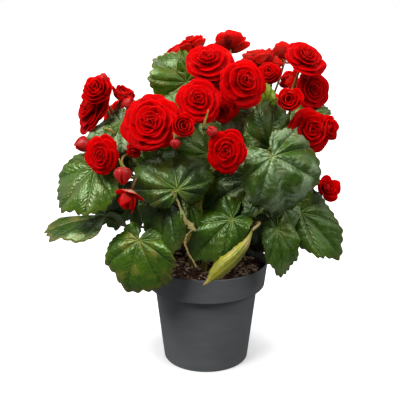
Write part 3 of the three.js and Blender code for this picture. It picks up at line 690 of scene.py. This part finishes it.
def petal_finish(name, deep, bright, back_colour, gloss, roughness):
    """Look: painted shade, which darkens the heart, the inner whorls and shaded blooms, then along the
    petal, the petal's back, and how pale that is.
    """
    f = Finish(name)
    depth, along, back, own = f.look()
    streaks = f.noise(7, 4.0, where=f.node("ShaderNodeUVMap"), stretch=(3, 0.35, 1))
    # Darker towards each petal's base: partly a darker red of the petal itself, partly painted shade from
    # the petals that lie over it.
    colour = f.mix(f.ramp(along, 0.1, 0.8), deep, bright)
    colour = f.mix(f.ramp(streaks, 0.4, 0.7) * 0.25, colour, deep)
    # Painted shade: the inner whorls, the heart and the blooms in the plant's shadow are darker.
    colour = f.mix(depth * 0.5, colour, deep)
    colour = f.mix(f.math("MULTIPLY", own, 0.15, clamp=True), colour, deep)
    pale = f.ramp(along, 0.35, 1.0, 0.85, 0.15) * f.ramp(streaks, 0.35, 0.65, 0.4, 1.0) * back
    pale = f.math("MULTIPLY", pale, (own + 0.15) * 0.5, clamp=True)
    f.set(
        Base_Color=f.mix(pale, colour, back_colour),
        Roughness=roughness,
        Normal=f.bump(f.noise(1300, 2.0) + streaks * 1.5, 0.00025, 0.5),
        Specular_IOR_Level=gloss,
        Subsurface_Weight=0.6,
        Subsurface_Radius=(1.0, 0.08, 0.06),
        Subsurface_Scale=0.01,
    )
    return f.material


def stem_finish(name):
    """Look: redness, then how far along the stalk."""
    f = Finish(name)
    redness = f.look()[0]
    streak = f.noise(260, stretch=(1, 1, 0.15))
    colour = f.mix(f.ramp(streak, 0.3, 0.7), (0.13, 0.17, 0.03), (0.24, 0.25, 0.06))
    blush = redness * f.ramp(f.noise(120, 2.0), 0.3, 0.7, 0.6, 1.0)
    f.set(
        Base_Color=f.mix(blush, colour, (0.3, 0.07, 0.035)),
        Roughness=0.42,
        Normal=f.bump(f.noise(900, stretch=(1, 1, 0.3)), 0.0003, 0.6),
        Subsurface_Weight=0.08,
        Subsurface_Scale=0.002,
    )
    return f.material


def soil_finish(name):
    """Look: how light the crumb or chip is."""
    f = Finish(name)
    light = f.look()[0]
    grain = f.noise(600, 5.0)
    colour = f.mix(f.ramp(grain, 0.35, 0.65), (0.018, 0.009, 0.006), (0.17, 0.08, 0.045))
    f.set(
        Base_Color=f.mix(light, colour, (0.9, 0.6, 0.42)),
        Roughness=0.85,
        Normal=f.bump(grain, 0.002, 1.0),
        Specular_IOR_Level=0.2,
    )
    return f.material


def pot_finish(name):
    """Plain moulded plastic, a little scuffed."""
    f = Finish(name)
    scuff = f.noise(38, 4.0, stretch=(1, 1, 3.5))
    f.set(
        Base_Color=f.mix(f.ramp(scuff, 0.35, 0.7), (0.106, 0.113, 0.12), (0.122, 0.129, 0.137)),
        Roughness=f.ramp(scuff, 0.3, 0.7, 0.36, 0.5),
        Normal=f.bump(f.noise(2600), 0.00012, 0.5),
        Specular_IOR_Level=0.5,
    )
    return f.material


LEAF_FINISH = leaf_finish(
    "leaf_green", (0.0, 0.012, 0.0), (0.08, 0.18, 0.0), (0.28, 0.2, 0.03), (0.2, 0.27, 0.03),
    underside=(0.06, 0.12, 0.004), painted_highlight_colour=(0.36, 0.48, 0.3),
)
YOUNG_FINISH = leaf_finish(
    "leaf_young", (0.05, 0.12, 0.002), (0.24, 0.36, 0.01), (0.3, 0.3, 0.05), (0.35, 0.45, 0.06),
    underside=(0.2, 0.3, 0.02), gloss=0.6,
)
YELLOW_FINISH = leaf_finish(
    "leaf_yellowing", (0.14, 0.15, 0.025), (0.5, 0.41, 0.01), (0.36, 0.26, 0.1), (0.4, 0.37, 0.08),
    gloss=0.5, relief=0.0006,
)
WITHERED_FINISH = leaf_finish(
    "leaf_withered", (0.16, 0.11, 0.03), (0.6, 0.48, 0.2), (0.34, 0.22, 0.08), (0.5, 0.4, 0.2),
)
BRACT_FINISH = leaf_finish(
    "bract", (0.16, 0.24, 0.02), (0.34, 0.4, 0.06), (0.4, 0.22, 0.06), (0.4, 0.42, 0.1),
)
PETAL_FINISH = petal_finish(
    "petal_red", (0.37, 0.0, 0.001), (0.84, 0.0, 0.001), (0.78, 0.26, 0.17), gloss=0.03, roughness=0.6,
)
BUD_FINISH = petal_finish(
    "bud_red", (0.45, 0.0, 0.002), (0.8, 0.002, 0.004), (0.85, 0.16, 0.1), gloss=0.3, roughness=0.4,
)
STEM_FINISH = stem_finish("stem_green")
SOIL_FINISH = soil_finish("soil_dark")
POT_FINISH = pot_finish("pot_plastic")


# ---------- leaves ----------

TEETH = {"count": 34, "size": 0.055, "lobe": 0.024, "notch": 0.17}
UNDERSIDE = 0.85


def leaf_reach(phi):
    """The outline round the joint: pointed ahead and lobed behind."""
    behind = math.pi - np.abs(phi)
    body = 0.62 + 0.27 * np.cos(phi) + 0.06 * np.cos(2 * phi)
    point = 0.07 * np.exp(-((phi / 0.3) ** 2))
    notch = 1 - 0.72 * np.exp(-((behind / 0.34) ** 2))
    return (body + point) * notch


def leaf_grid(leaf, rows, columns):
    """The sheet of a leaf in its own frame, with its vein coordinates and its share of the way to the
    margin."""
    phi = np.linspace(-math.pi + TEETH["notch"], math.pi - TEETH["notch"], columns)[None, :]
    share = (0.004 + 0.996 * np.linspace(0, 1, rows) ** 0.85)[:, None]
    turn = leaf["turn"]
    step = phi * TEETH["count"] / TAU + 0.35 * np.sin(2.7 * phi + turn)
    tooth = np.sin(math.pi * (step % 1.0) ** 1.4) + 0.4 * np.sin(TAU * step / 2.6 + turn)
    lobe = np.cos(TAU * phi / VEIN["spacing"]) + 0.9 * np.sin(2.3 * phi + turn)
    edge = TEETH["size"] * (tooth - 0.5) * share**8 + TEETH["lobe"] * lobe * share**2
    reach = leaf_reach(phi) * share * (1 + edge) * (1 + leaf["skew"] * np.sin(phi))
    x = reach * np.cos(phi)
    y = reach * np.sin(phi)
    aside, ribs, swell = veins(phi, reach, x, y, turn, leaf["swell"])
    y = y * leaf["wide"]
    crease = np.sqrt(y * y + 0.004) - 0.063
    waves = np.sin(3 * phi + turn) + 0.6 * np.sin(5 * phi + 2 * turn)
    z = leaf["fold"] * crease - leaf["droop"] * x * x - leaf["arch"] * y * y
    z = z + leaf["wave"] * waves * share**2.4
    lumps = np.sin(4.3 * x + turn) * np.sin(4.9 * y + 1.7 * turn)
    z = z + 0.025 * lumps * share + swell * np.minimum(1, (1.03 - share) * 5)
    z = z + 0.022 * np.sin(11 * phi + 3 * turn) * share**5 - leaf["curl"] * share**7
    return layers(x, y, z) * leaf["length"], layers(aside, ribs), np.broadcast_to(share, x.shape)


def veins(phi, radius, x, y, turn, swell):
    """The way from the nearest main vein, a count of side veins, and how far the blade swells there."""
    wander = np.sin(6.3 * x + turn) * np.cos(5.1 * y + 2 * turn)
    bent = phi * (1 + VEIN["bend"] * radius) + 0.07 * wander * radius
    off = ((bent / VEIN["spacing"] + 0.5) % 1.0 - 0.5) * VEIN["spacing"]
    aside = np.abs(radius * np.sin(off))
    ribs = (radius * np.cos(off) - 0.9 * aside) * VEIN["ribs"] + 0.5 * wander
    away = np.minimum(1, aside / 0.08)
    groove = np.abs((ribs + 0.5) % 1.0 - 0.5) * 2
    puff = VEIN["puff"] * away * (1 - (1 - groove) ** 2.5)
    pucker = 0.006 * np.sin(31 * x + 2 * turn) * np.sin(29 * y + turn)
    return aside, ribs, swell * (1 - np.exp(-((aside / 0.07) ** 2))) + puff + pucker * away


def leaf_spec(name, leaf, index):
    at, face = vec(leaf["at"]), vec(leaf["face"])
    along = vec(leaf["tip"]) - at
    ahead = unit(along)
    axes = axes_at(face - ahead * (face @ ahead), along)
    placed = {"name": name, "at": at, "axes": axes, "length": np.linalg.norm(along)}
    return {**leaf, **placed, "stem": nearest_stem(at), "turn": LEAF_TURN * index}


def build_leaf(name, leaf, grid_size, *nodes):
    grid, vein_uv, share = leaf_grid(leaf, *grid_size)
    over, under = (layers(leaf["tone"], share, side, leaf["dry"]) for side in (0, UNDERSIDE))
    skin = Skin()
    skin.sheet(grid @ leaf["axes"] + leaf["at"], THICKNESS["leaf"], vein_uv, over, under)
    skin.build(name, YOUNG_FINISH if leaf["tone"] > YOUNG_TONE else LEAF_FINISH, "leaf", *nodes)


def build_rolled(name, curled, grid_size, finish, *nodes):
    """A blade rolled to a half pipe whose back faces out. One edge is brighter, and the tip is dry."""
    rows, columns = grid_size
    path = bezier(curled["route"], rows)
    ahead = unit(path[-1] - path[0])
    side = unit(np.cross(vec(curled["face"]), ahead))
    normal = np.cross(ahead, side)
    t = np.linspace(0, 1, rows)[:, None]
    u = np.linspace(-1, 1, columns)[None, :]
    ragged = curled["ragged"]
    half = np.interp(t, *zip(*curled["widths"]))
    half = half * (1 + ragged * np.sin(23 * t + 2 * u) + ragged * np.abs(u) * np.sin(61 * t + u))
    turn = curled["turn"] * (0.6 + 0.4 * t)
    pipe = half / np.sin(np.minimum(turn, math.pi / 2))
    ridges = 0.35 * np.abs(np.sin(7 * u + 0.5 * np.sin(9 * t)))
    across, out = pipe * np.sin(u * turn), pipe * (np.cos(u * turn) - 1) + ridges
    grid = path[:, None, :] + across[..., None] * side + out[..., None] * normal
    bright = np.exp(-(((t - 0.45) / 0.24) ** 2)) * np.clip((-u - 0.2) * 2.5, 0, 1)
    look = layers(0.1 + 1.2 * bright + 0.25 * t, t, 0, 0.9)
    vein_uv = layers(0.02 + 0.3 * np.abs(u), 9 * t + 2 * np.abs(u))
    skin = Skin()
    skin.sheet(grid, THICKNESS["leaf"], vein_uv, look)
    skin.build(name, finish, "yellow_leaf", *nodes)


# ---------- blooms ----------


def bloom_spec(name, bloom, index):
    faces = unit(vec(bloom["faces"]))
    at = vec(bloom["at"]) - faces * bloom["behind"] * bloom["radius"]
    axes = axes_at(faces, vec([1, 0, 0]) if abs(faces[2]) > 0.9 else UP)
    stem = bloom["stem"] or nearest_stem(at)
    turn = BLOOM_TURN * index
    return {"name": name, **bloom, "at": at, "faces": faces, "axes": axes, "stem": stem, "turn": turn}


def petal_grid(root, waist, lip, half, shape, rows, columns):
    """One petal of a bloom of radius 1: a strip that runs from its root through its waist to a round
    lip, bent round the bloom's axis. One edge lies over the next petal and the other lies under."""
    v = np.linspace(0, 1, rows)[:, None]
    u = np.linspace(-1, 1, columns)[None, :]
    root, waist, lip = vec(root), vec(waist), vec(lip)
    lip = waist + (lip - waist) * shape["size"]
    mid = 0.55
    bend = (waist - (1 - mid) ** 2 * root - mid**2 * lip) / (2 * mid * (1 - mid))
    phase = shape["phase"]
    outline = 1 - 0.28 * np.abs(u) ** 2.6 - shape["pointed"] * np.abs(u) ** 1.3
    s = v * (outline - 0.022 * np.cos(2.2 * math.pi * u + phase) + 0.03 * u * np.sin(3 * phase))
    line = [(1 - s) ** 2 * root[i] + 2 * s * (1 - s) * bend[i] + s**2 * lip[i] for i in (0, 1)]
    slope = [2 * (1 - s) * (bend[i] - root[i]) + 2 * s * (lip[i] - bend[i]) for i in (0, 1)]
    length = np.hypot(*slope)
    rise = shape["lift"] * u * np.minimum(1, 2 * v)
    ripple = np.sin(2.6 * u + phase) + 0.6 * np.sin(5.5 * u + 2.3 * phase)
    rise = rise + shape["ruffle"] * v**2.5 * ripple + shape["cup"] * (u * u - 0.3) * v
    rise = rise - shape["roll"] * v**6 * length  # the lip rolls outwards
    r = line[0] - slope[1] / length * rise
    z = line[1] + slope[0] / length * rise
    angle = u * half * (0.72 + 0.28 * np.minimum(1, 1.6 * v))
    return layers(r * np.cos(angle), r * np.sin(angle), z)


def petal_shape(chance, bloom, inner):
    """How one petal departs from its whorl. Petals nearer the heart are smaller and more ruffled."""
    if bloom["kind"] == "bud":
        smooth = {"size": 1, "lift": 0.05, "ruffle": 0, "roll": 0, "cup": 0, "phase": 0}
        return {**smooth, "pointed": bloom["pointed"]}
    return {
        "size": chance.uniform(0.84 - 0.2 * inner, 1.08),
        "lift": 0.018,
        "ruffle": 0.024 + 0.02 * inner,
        "roll": chance.uniform(-0.03, 0.04) * (1 - inner),
        "cup": chance.uniform(0.0, 0.06) * (1 - 0.6 * inner),
        "pointed": bloom["pointed"] * chance.uniform(0.4, 1.2),
        "phase": chance.uniform(0, TAU),
    }


def petal_paleness(chance, kind, order):
    """How pale a petal's back is: at random, apart from buds and nodding blooms."""
    drawn = chance.uniform(0, 1)
    return {"bud": 0.15, "nodding": 0.1 if order else 4}.get(kind, drawn)


def add_petals(skin, bloom, rows, columns):
    chance = random.Random(int(100 * bloom["turn"]) + 5)
    kind, whorls, loose = bloom["kind"], bloom["whorls"], bloom["loose"]
    across, v = np.meshgrid(np.linspace(0, 1, columns), np.linspace(0, 1, rows))
    offset = bloom["turn"]
    lean = chance.uniform(0, TAU)
    off_centre = 0 if kind == "bud" else chance.uniform(0.04, 0.13)
    for order, (count, root, waist, lip) in enumerate(whorls):
        inner = order / (len(whorls) - 1)
        sector = TAU / count
        for j in range(count):
            shape = petal_shape(chance, bloom, inner)
            shift = loose * chance.uniform(-0.16, 0.16) * (1 + inner)
            tilt = loose * chance.uniform(-0.05, 0.06)
            half = sector / 2 * (bloom["spread"] + loose * chance.uniform(-0.12, 0.16) + 0.3 * inner)
            lip_here = [lip[0] - 0.5 * tilt, lip[1] + tilt]
            grid = petal_grid(root, waist, lip_here, half, shape, rows, columns)
            turn = offset + (j + shift) * sector
            spin = np.array([[math.cos(turn), math.sin(turn), 0], [-math.sin(turn), math.cos(turn), 0], UP])
            grid = grid @ spin + off_centre * inner * vec([math.cos(lean), math.sin(lean), 0])
            grid = grid * [1, bloom["squeeze"], 1] @ bloom["axes"] * bloom["radius"] + bloom["at"]
            pale = petal_paleness(chance, kind, order) * bloom["pale"]
            uv = layers(across + 1.3 * j + 0.7 * order, v)
            # The first look value is painted shade: more on inner whorls, and more again on blooms in the
            # plant's shadow.
            over, under = (layers(inner + bloom["deep"], v, side, pale) for side in (0, 1))
            skin.sheet(grid, THICKNESS["petal"], uv, over, under)
        offset += BLOOM_TURN


def build_bloom(bloom, grid_size, *nodes):
    skin = Skin()
    add_petals(skin, bloom, *grid_size)
    top = bloom["whorls"][-1][1][1] + 0.08
    heart = [[0.08, 0], [0.13, 0.03], [0.2, 0.12], [0.17, 0.3], [0.09, top]]
    profile = [[bloom["radius"] * r, bloom["radius"] * z] for r, z in heart]
    # The heart's first look value, 0.6, is painted shade.
    skin.lathe(profile, 12, (0.6, 0.2, 0.5, 0), bloom["axes"], bloom["at"])
    finish = BUD_FINISH if bloom["kind"] == "bud" else PETAL_FINISH
    skin.build(f"{bloom['name']}_fine", finish, "petal", *nodes)


# ---------- stems ----------

# redness is given at the foot and at the end. A petiole comes in at an angle, a little under its joint.
PETIOLE = {"radius": 1.3, "redness": (0.35, 0.1), "lean": 0.7, "under": 0.9}
PEDICEL = {"radius": 1.15, "redness": (0.25, 0.75)}
# The lowest and the highest share of a stem at which stalks leave it.
STALKS_FROM, STALKS_TO = 0.35, 0.97


def stem_path(stem):
    foot, top = stem["foot"], vec(stem["top"])
    bend = vec([*foot, SOIL_EDGE + 8])
    rise = top[2] - bend[2]
    straight = np.linspace(vec([*foot, SOIL_EDGE - STEM["depth"]]), bend, 8)
    knee = 0.75 * top + 0.25 * vec([*foot, 0])
    knee[2] = bend[2] + 0.55 * rise
    curve = bezier([bend, bend + 0.4 * rise * UP, knee, top], 40)
    return np.concatenate([straight, curve[1:]])


def stalk_path(stem, path, end, arrival, bow):
    """A stalk's route from its stem to its end, where it comes in along arrival."""
    x, y, top = stem["top"]
    drop = 0.5 * math.hypot(end[0] - x, end[1] - y)
    share = (end[2] - drop - SOIL_EDGE) / (top - SOIL_EDGE)
    start, leaving = along_path(path, min(max(share, STALKS_FROM), STALKS_TO))
    reach = np.linalg.norm(end - start)
    leave = start + leaving * 0.35 * reach + vec(bow)
    arrive = end - arrival * 0.4 * reach + vec(bow)
    return bezier([start, leave, arrive, end], 20)


def nearest_stem(point):
    return min(STEMS, key=lambda key: np.linalg.norm(vec(STEMS[key]["top"]) - point))


def petiole_path(stem, path, leaf):
    ahead, _, normal = leaf["axes"]
    arrival = normal * math.cos(PETIOLE["lean"]) + ahead * math.sin(PETIOLE["lean"])
    return stalk_path(stem, path, leaf["at"] - normal * PETIOLE["under"], arrival, leaf["bow"])


def add_stalk(skin, path, form):
    """A stalk that is thicker at both ends."""
    t = np.linspace(0, 1, len(path))
    ends = 1 + 0.35 * np.exp(-((t / 0.08) ** 2)) + 0.3 * np.exp(-(((1 - t) / 0.08) ** 2))
    skin.tube(path, form["radius"] * ends, layers(np.linspace(*form["redness"], len(path)), t, 0, 0))


def build_stem(key, stem, leaves, blooms):
    skin = Skin()
    path = stem_path(stem)
    t = np.linspace(0, 1, len(path))
    joints = 0.14 * np.cos(t * TAU * 6.5) ** 8
    radii = STEM["radius"] * (1.02 - 0.25 * t + joints)
    skin.tube(path, radii, layers(0.25 + 0.35 * t, t, 0, 0), 12)
    for leaf in leaves:
        if leaf["stem"] == key:
            add_stalk(skin, petiole_path(stem, path, leaf), PETIOLE)
    for bloom in blooms:
        if bloom["stem"] == key:
            route = stalk_path(stem, path, bloom["at"], bloom["faces"], bloom["bow"])
            add_stalk(skin, route, PEDICEL)
    skin.build(f"stem_{key}_fine", STEM_FINISH, "stem", f"stem_{key}")


# ---------- pot and soil ----------

NECK = POT["height"] - POT["collar"]
CHIPS = {"count": 620, "seed": 11}


def rounded(profile, radii):
    """A profile with its corners rounded, each by its own length."""
    points = [vec(profile[0])]
    for i in range(1, len(profile) - 1):
        before, corner, after = vec(profile[i - 1]), vec(profile[i]), vec(profile[i + 1])
        start = corner + unit(before - corner) * radii[i]
        end = corner + unit(after - corner) * radii[i]
        for t in np.linspace(0, 1, 5):
            points.append((1 - t) ** 2 * start + 2 * t * (1 - t) * corner + t * t * end)
    return points + [vec(profile[-1])]


def inner_radius(height):
    if height > NECK:
        up = (height - NECK) / POT["collar"]
        return POT["collar_foot"] + (POT["rim"] - POT["collar_foot"]) * up - POT["wall"]
    return POT["foot"] + (POT["neck"] - POT["foot"]) * height / NECK - POT["wall"]


def build_pot():
    ledge = NECK + POT["wall"] + 0.8
    profile = [
        (0.01, 0),
        (POT["foot"], 0),
        (POT["neck"], NECK),
        (POT["collar_foot"], NECK),
        (POT["rim"], POT["height"]),
        (POT["rim"] - POT["wall"], POT["height"]),
        (inner_radius(ledge), ledge),
        (inner_radius(NECK), NECK),
        (inner_radius(POT["floor"]), POT["floor"]),
        (0.01, POT["floor"]),
    ]
    radii = [0, 1.6, 0.8, 1.1, 1.1, 0.35, 0.8, 0.8, 0.8, 0]
    skin = Skin()
    skin.lathe(rounded(profile, radii), 128)
    pot = skin.build("pot_fine", POT_FINISH, "pot", "pot")
    cutters = Skin()
    for i in range(DRAIN["count"]):
        angle = TAU * (i + 0.5) / DRAIN["count"]
        centre = (DRAIN["ring"] * math.cos(angle), DRAIN["ring"] * math.sin(angle), 0)
        cutters.lathe([(DRAIN["radius"], -3), (DRAIN["radius"], 6)], 24, origin=centre)
    cutter = cutters.build("drain_cutter", POT_FINISH, "pot")
    cut = pot.modifiers.new("drain", "BOOLEAN")
    cut.operation = "DIFFERENCE"
    cut.object = cutter
    bpy.context.view_layer.update()
    graph = bpy.context.evaluated_depsgraph_get()
    mesh = bpy.data.meshes.new_from_object(pot.evaluated_get(graph), depsgraph=graph)
    pot.modifiers.clear()
    pot.data = mesh
    bpy.data.objects.remove(cutter)


def soil_height(x, y):
    share = np.hypot(x, y) / POT["rim"]
    lumps = np.sin(x / 5.1 + 1.3) * np.cos(y / 6.3) + 0.6 * np.sin((x - y) / 3.7)
    return SOIL_EDGE + 3.5 * (1 - share * share) + 1.3 * lumps


def crumbs(x, y):
    """Fine lumps on the soil, of a few sizes."""
    small = np.sin(1.9 * x + 0.7 * y) * np.sin(2.3 * y - 0.4 * x + 1)
    fine = np.sin(3.7 * x - 1.9 * y + 2) * np.sin(4.1 * y + 1.2 * x)
    return 0.5 * small + 0.35 * fine


def build_soil():
    clear = 0.5  # between the soil and the pot's wall
    floor = POT["floor"] + 0.3
    edge = inner_radius(SOIL_EDGE) - clear
    ring = circle(120)
    outline = [
        (0.5, floor),
        (inner_radius(floor) - clear, floor),
        (inner_radius(NECK) - clear, NECK),
        (inner_radius(NECK + 2.3) - clear, NECK + 2.8),
    ]
    rings = [r * ring + z * UP for r, z in outline]
    for share in np.linspace(1, 0.01, 34):
        x, y = edge * share * ring[:, 0], edge * share * ring[:, 1]
        rings.append(layers(x, y, soil_height(x, y) + crumbs(x, y) * min(1, 12 * (1.02 - share))))
    skin = Skin()
    skin.rings(rings, (0, 0, 0, 0))
    chance = random.Random(CHIPS["seed"])
    for _ in range(CHIPS["count"]):
        add_chip(skin, chance, edge)
    skin.build("soil_fine", SOIL_FINISH, "soil", "soil")


def add_chip(skin, chance, edge):
    """A bit of bark or a pale crumb that lies on the soil."""
    reach = (edge - 3) * math.sqrt(chance.random())
    turn = chance.uniform(0, TAU)
    x, y = reach * math.cos(turn), reach * math.sin(turn)
    bark = chance.random() < 0.7
    long = chance.uniform(3, 8) if bark else chance.uniform(1, 2.2)
    across = long * (chance.uniform(0.35, 0.75) if bark else chance.uniform(0.7, 1))
    thick = across * (chance.uniform(0.3, 0.6) if bark else chance.uniform(0.6, 0.9))
    light = chance.choice([0.1, 0.4, 0.8, 1.2]) if bark else chance.choice([0.2, 0.6, 1, 1])
    angle = np.arange(6) * TAU / 6
    rings = []
    for r, h in [(0.35, -1), (0.8, -0.6), (1, 0), (0.75, 0.65), (0.3, 0.95)]:
        reach = r * vec([chance.uniform(0.8, 1.2) for _ in angle]) / 2
        rings.append(layers(h * long / 2, reach * np.cos(angle) * across, reach * np.sin(angle) * thick))
    tilt = vec([chance.uniform(-0.5, 0.5), chance.uniform(-0.5, 0.5), 1])
    heading = chance.uniform(0, TAU)
    axes = axes_at(tilt, vec([math.cos(heading), math.sin(heading), 0]))
    origin = vec([x, y, soil_height(x, y) + 0.35 * thick])
    skin.rings(np.asarray(rings) @ axes + origin, (light, 0, 0, 0))


# ---------- assembly ----------


def specs(spec, prefix, table, first=0):
    return [spec(prefix + key, row, i) for i, (key, row) in enumerate(table.items(), first)]


leaves = specs(leaf_spec, "leaf_", LEAVES)
inner_leaves = specs(leaf_spec, "inner_leaf_", INNER_LEAVES, INNER_START)
blooms = specs(bloom_spec, "bloom_", BLOOMS)
inner_blooms = specs(bloom_spec, "inner_bloom_", INNER_BLOOMS, INNER_START)

build_pot()
build_soil()
for key, stem in STEMS.items():
    build_stem(key, stem, leaves + inner_leaves, blooms + inner_blooms)
for leaf in leaves:
    node = leaf["name"]
    if node == "leaf_yellow":
        build_rolled(f"{node}_fine", YELLOW_LEAF, GRIDS["rolled"], YELLOW_FINISH, node)
    else:
        build_leaf(f"{node}_fine", leaf, GRIDS["leaf"], node)
for key, curled in STRIPS.items():
    build_rolled(key, curled, GRIDS["strip"], WITHERED_FINISH)
for key, curled in BRACTS.items():
    build_rolled(key, curled, GRIDS["bract"], BRACT_FINISH)
for leaf in inner_leaves:
    build_leaf(leaf["name"], leaf, GRIDS["inner_leaf"])
for bloom in blooms:
    behind = bloom["name"].startswith("bloom_back")
    build_bloom(bloom, GRIDS["inner_petal" if behind else "petal"], bloom["name"])
for bloom in inner_blooms:
    build_bloom(bloom, GRIDS["inner_petal"])


# ---------- stage, light and camera ----------

# In metres.
FLOOR = {"half": 60.0, "below": 0.0002}
# It looks towards +Y, and down by so many degrees.
CAMERA = {"at": (-6.4, -724.1, 368.0), "down": 15.1, "lens": 65.4, "sensor": 36}


def split_by_camera(tree, unseen, seen, surface):
    """Gives a surface two shaders: the camera sees one, and all other light meets the other."""
    path = tree.nodes.new("ShaderNodeLightPath")
    mix = tree.nodes.new("ShaderNodeMixShader")
    tree.links.new(path.outputs["Is Camera Ray"], mix.inputs[0])
    tree.links.new(unseen, mix.inputs[1])
    tree.links.new(seen, mix.inputs[2])
    tree.links.new(mix.outputs[0], surface)


def build_stage():
    mesh = bpy.data.meshes.new("floor")
    far = FLOOR["half"]
    mesh.from_pydata([(-far, -far, 0), (far, -far, 0), (far, far, 0), (-far, far, 0)], [], [(0, 1, 2, 3)])
    floor = add_object("floor", mesh)
    floor.location.z = -FLOOR["below"]
    f = Finish("floor_pale")
    away = f.node("ShaderNodeVectorMath", {0: f.place()}, operation="LENGTH")["Value"]
    glow = f.ramp(away, 0.04, 0.12, 0.35, 0.85)  # it washes out the shadows away from the pot
    f.set(Base_Color=(0.5, 0.5, 0.5), Roughness=0.9, Specular_IOR_Level=0.1)
    f.set(Emission_Color=(1.0, 1.0, 1.0), Emission_Strength=glow)
    dim = f.node("ShaderNodeBsdfDiffuse", {"Color": (0.12, 0.12, 0.12)})
    surface = f.tree.nodes["Material Output"].inputs["Surface"]
    split_by_camera(f.tree, dim.socket, f.shader.outputs[0], surface)
    mesh.materials.append(f.material)


def add_sun(name, direction, strength, spread):
    """A distant soft lamp. direction points from the plant to the lamp."""
    data = bpy.data.lights.new(name, "SUN")
    data.energy = strength
    data.angle = math.radians(spread)
    lamp = add_object(name, data)
    lamp.rotation_mode = "QUATERNION"
    lamp.rotation_quaternion = Vector(direction).to_track_quat("Z", "Y")


def light_scene():
    world = bpy.data.worlds.new("studio")
    world.use_nodes = True
    tree = world.node_tree
    dim = tree.nodes["Background"]
    seen = tree.nodes.new("ShaderNodeBackground")
    for background, strength in [(dim, 0.05), (seen, 1.0)]:
        background.inputs["Color"].default_value = (1, 1, 1, 1)
        background.inputs["Strength"].default_value = strength
    split_by_camera(tree, dim.outputs[0], seen.outputs[0], tree.nodes["World Output"].inputs["Surface"])
    bpy.context.scene.world = world
    add_sun("key", (-0.5, -0.5, 0.9), 4.0, 30)
    add_sun("fill", (0.7, -0.5, 0.8), 1.4, 30)
    add_sun("right", (1.0, 0.2, 0.45), 0.5, 40)
    add_sun("left", (-1.0, 0.4, 0.4), 0.5, 40)
    add_sun("back", (0.1, 0.8, 0.8), 1.4, 40)


def place_camera():
    data = bpy.data.cameras.new("camera")
    data.lens = CAMERA["lens"]
    data.sensor_width = CAMERA["sensor"]
    data.clip_start = 0.01
    data.clip_end = 200
    camera = add_object("camera", data)
    camera.location = Vector(CAMERA["at"]) * MM
    camera.rotation_euler = (math.radians(90 - CAMERA["down"]), 0, 0)
    bpy.context.scene.camera = camera


build_stage()
light_scene()
place_camera()
bpy.context.scene.view_settings.view_transform = "Standard"
bpy.context.scene.view_settings.look = "None"
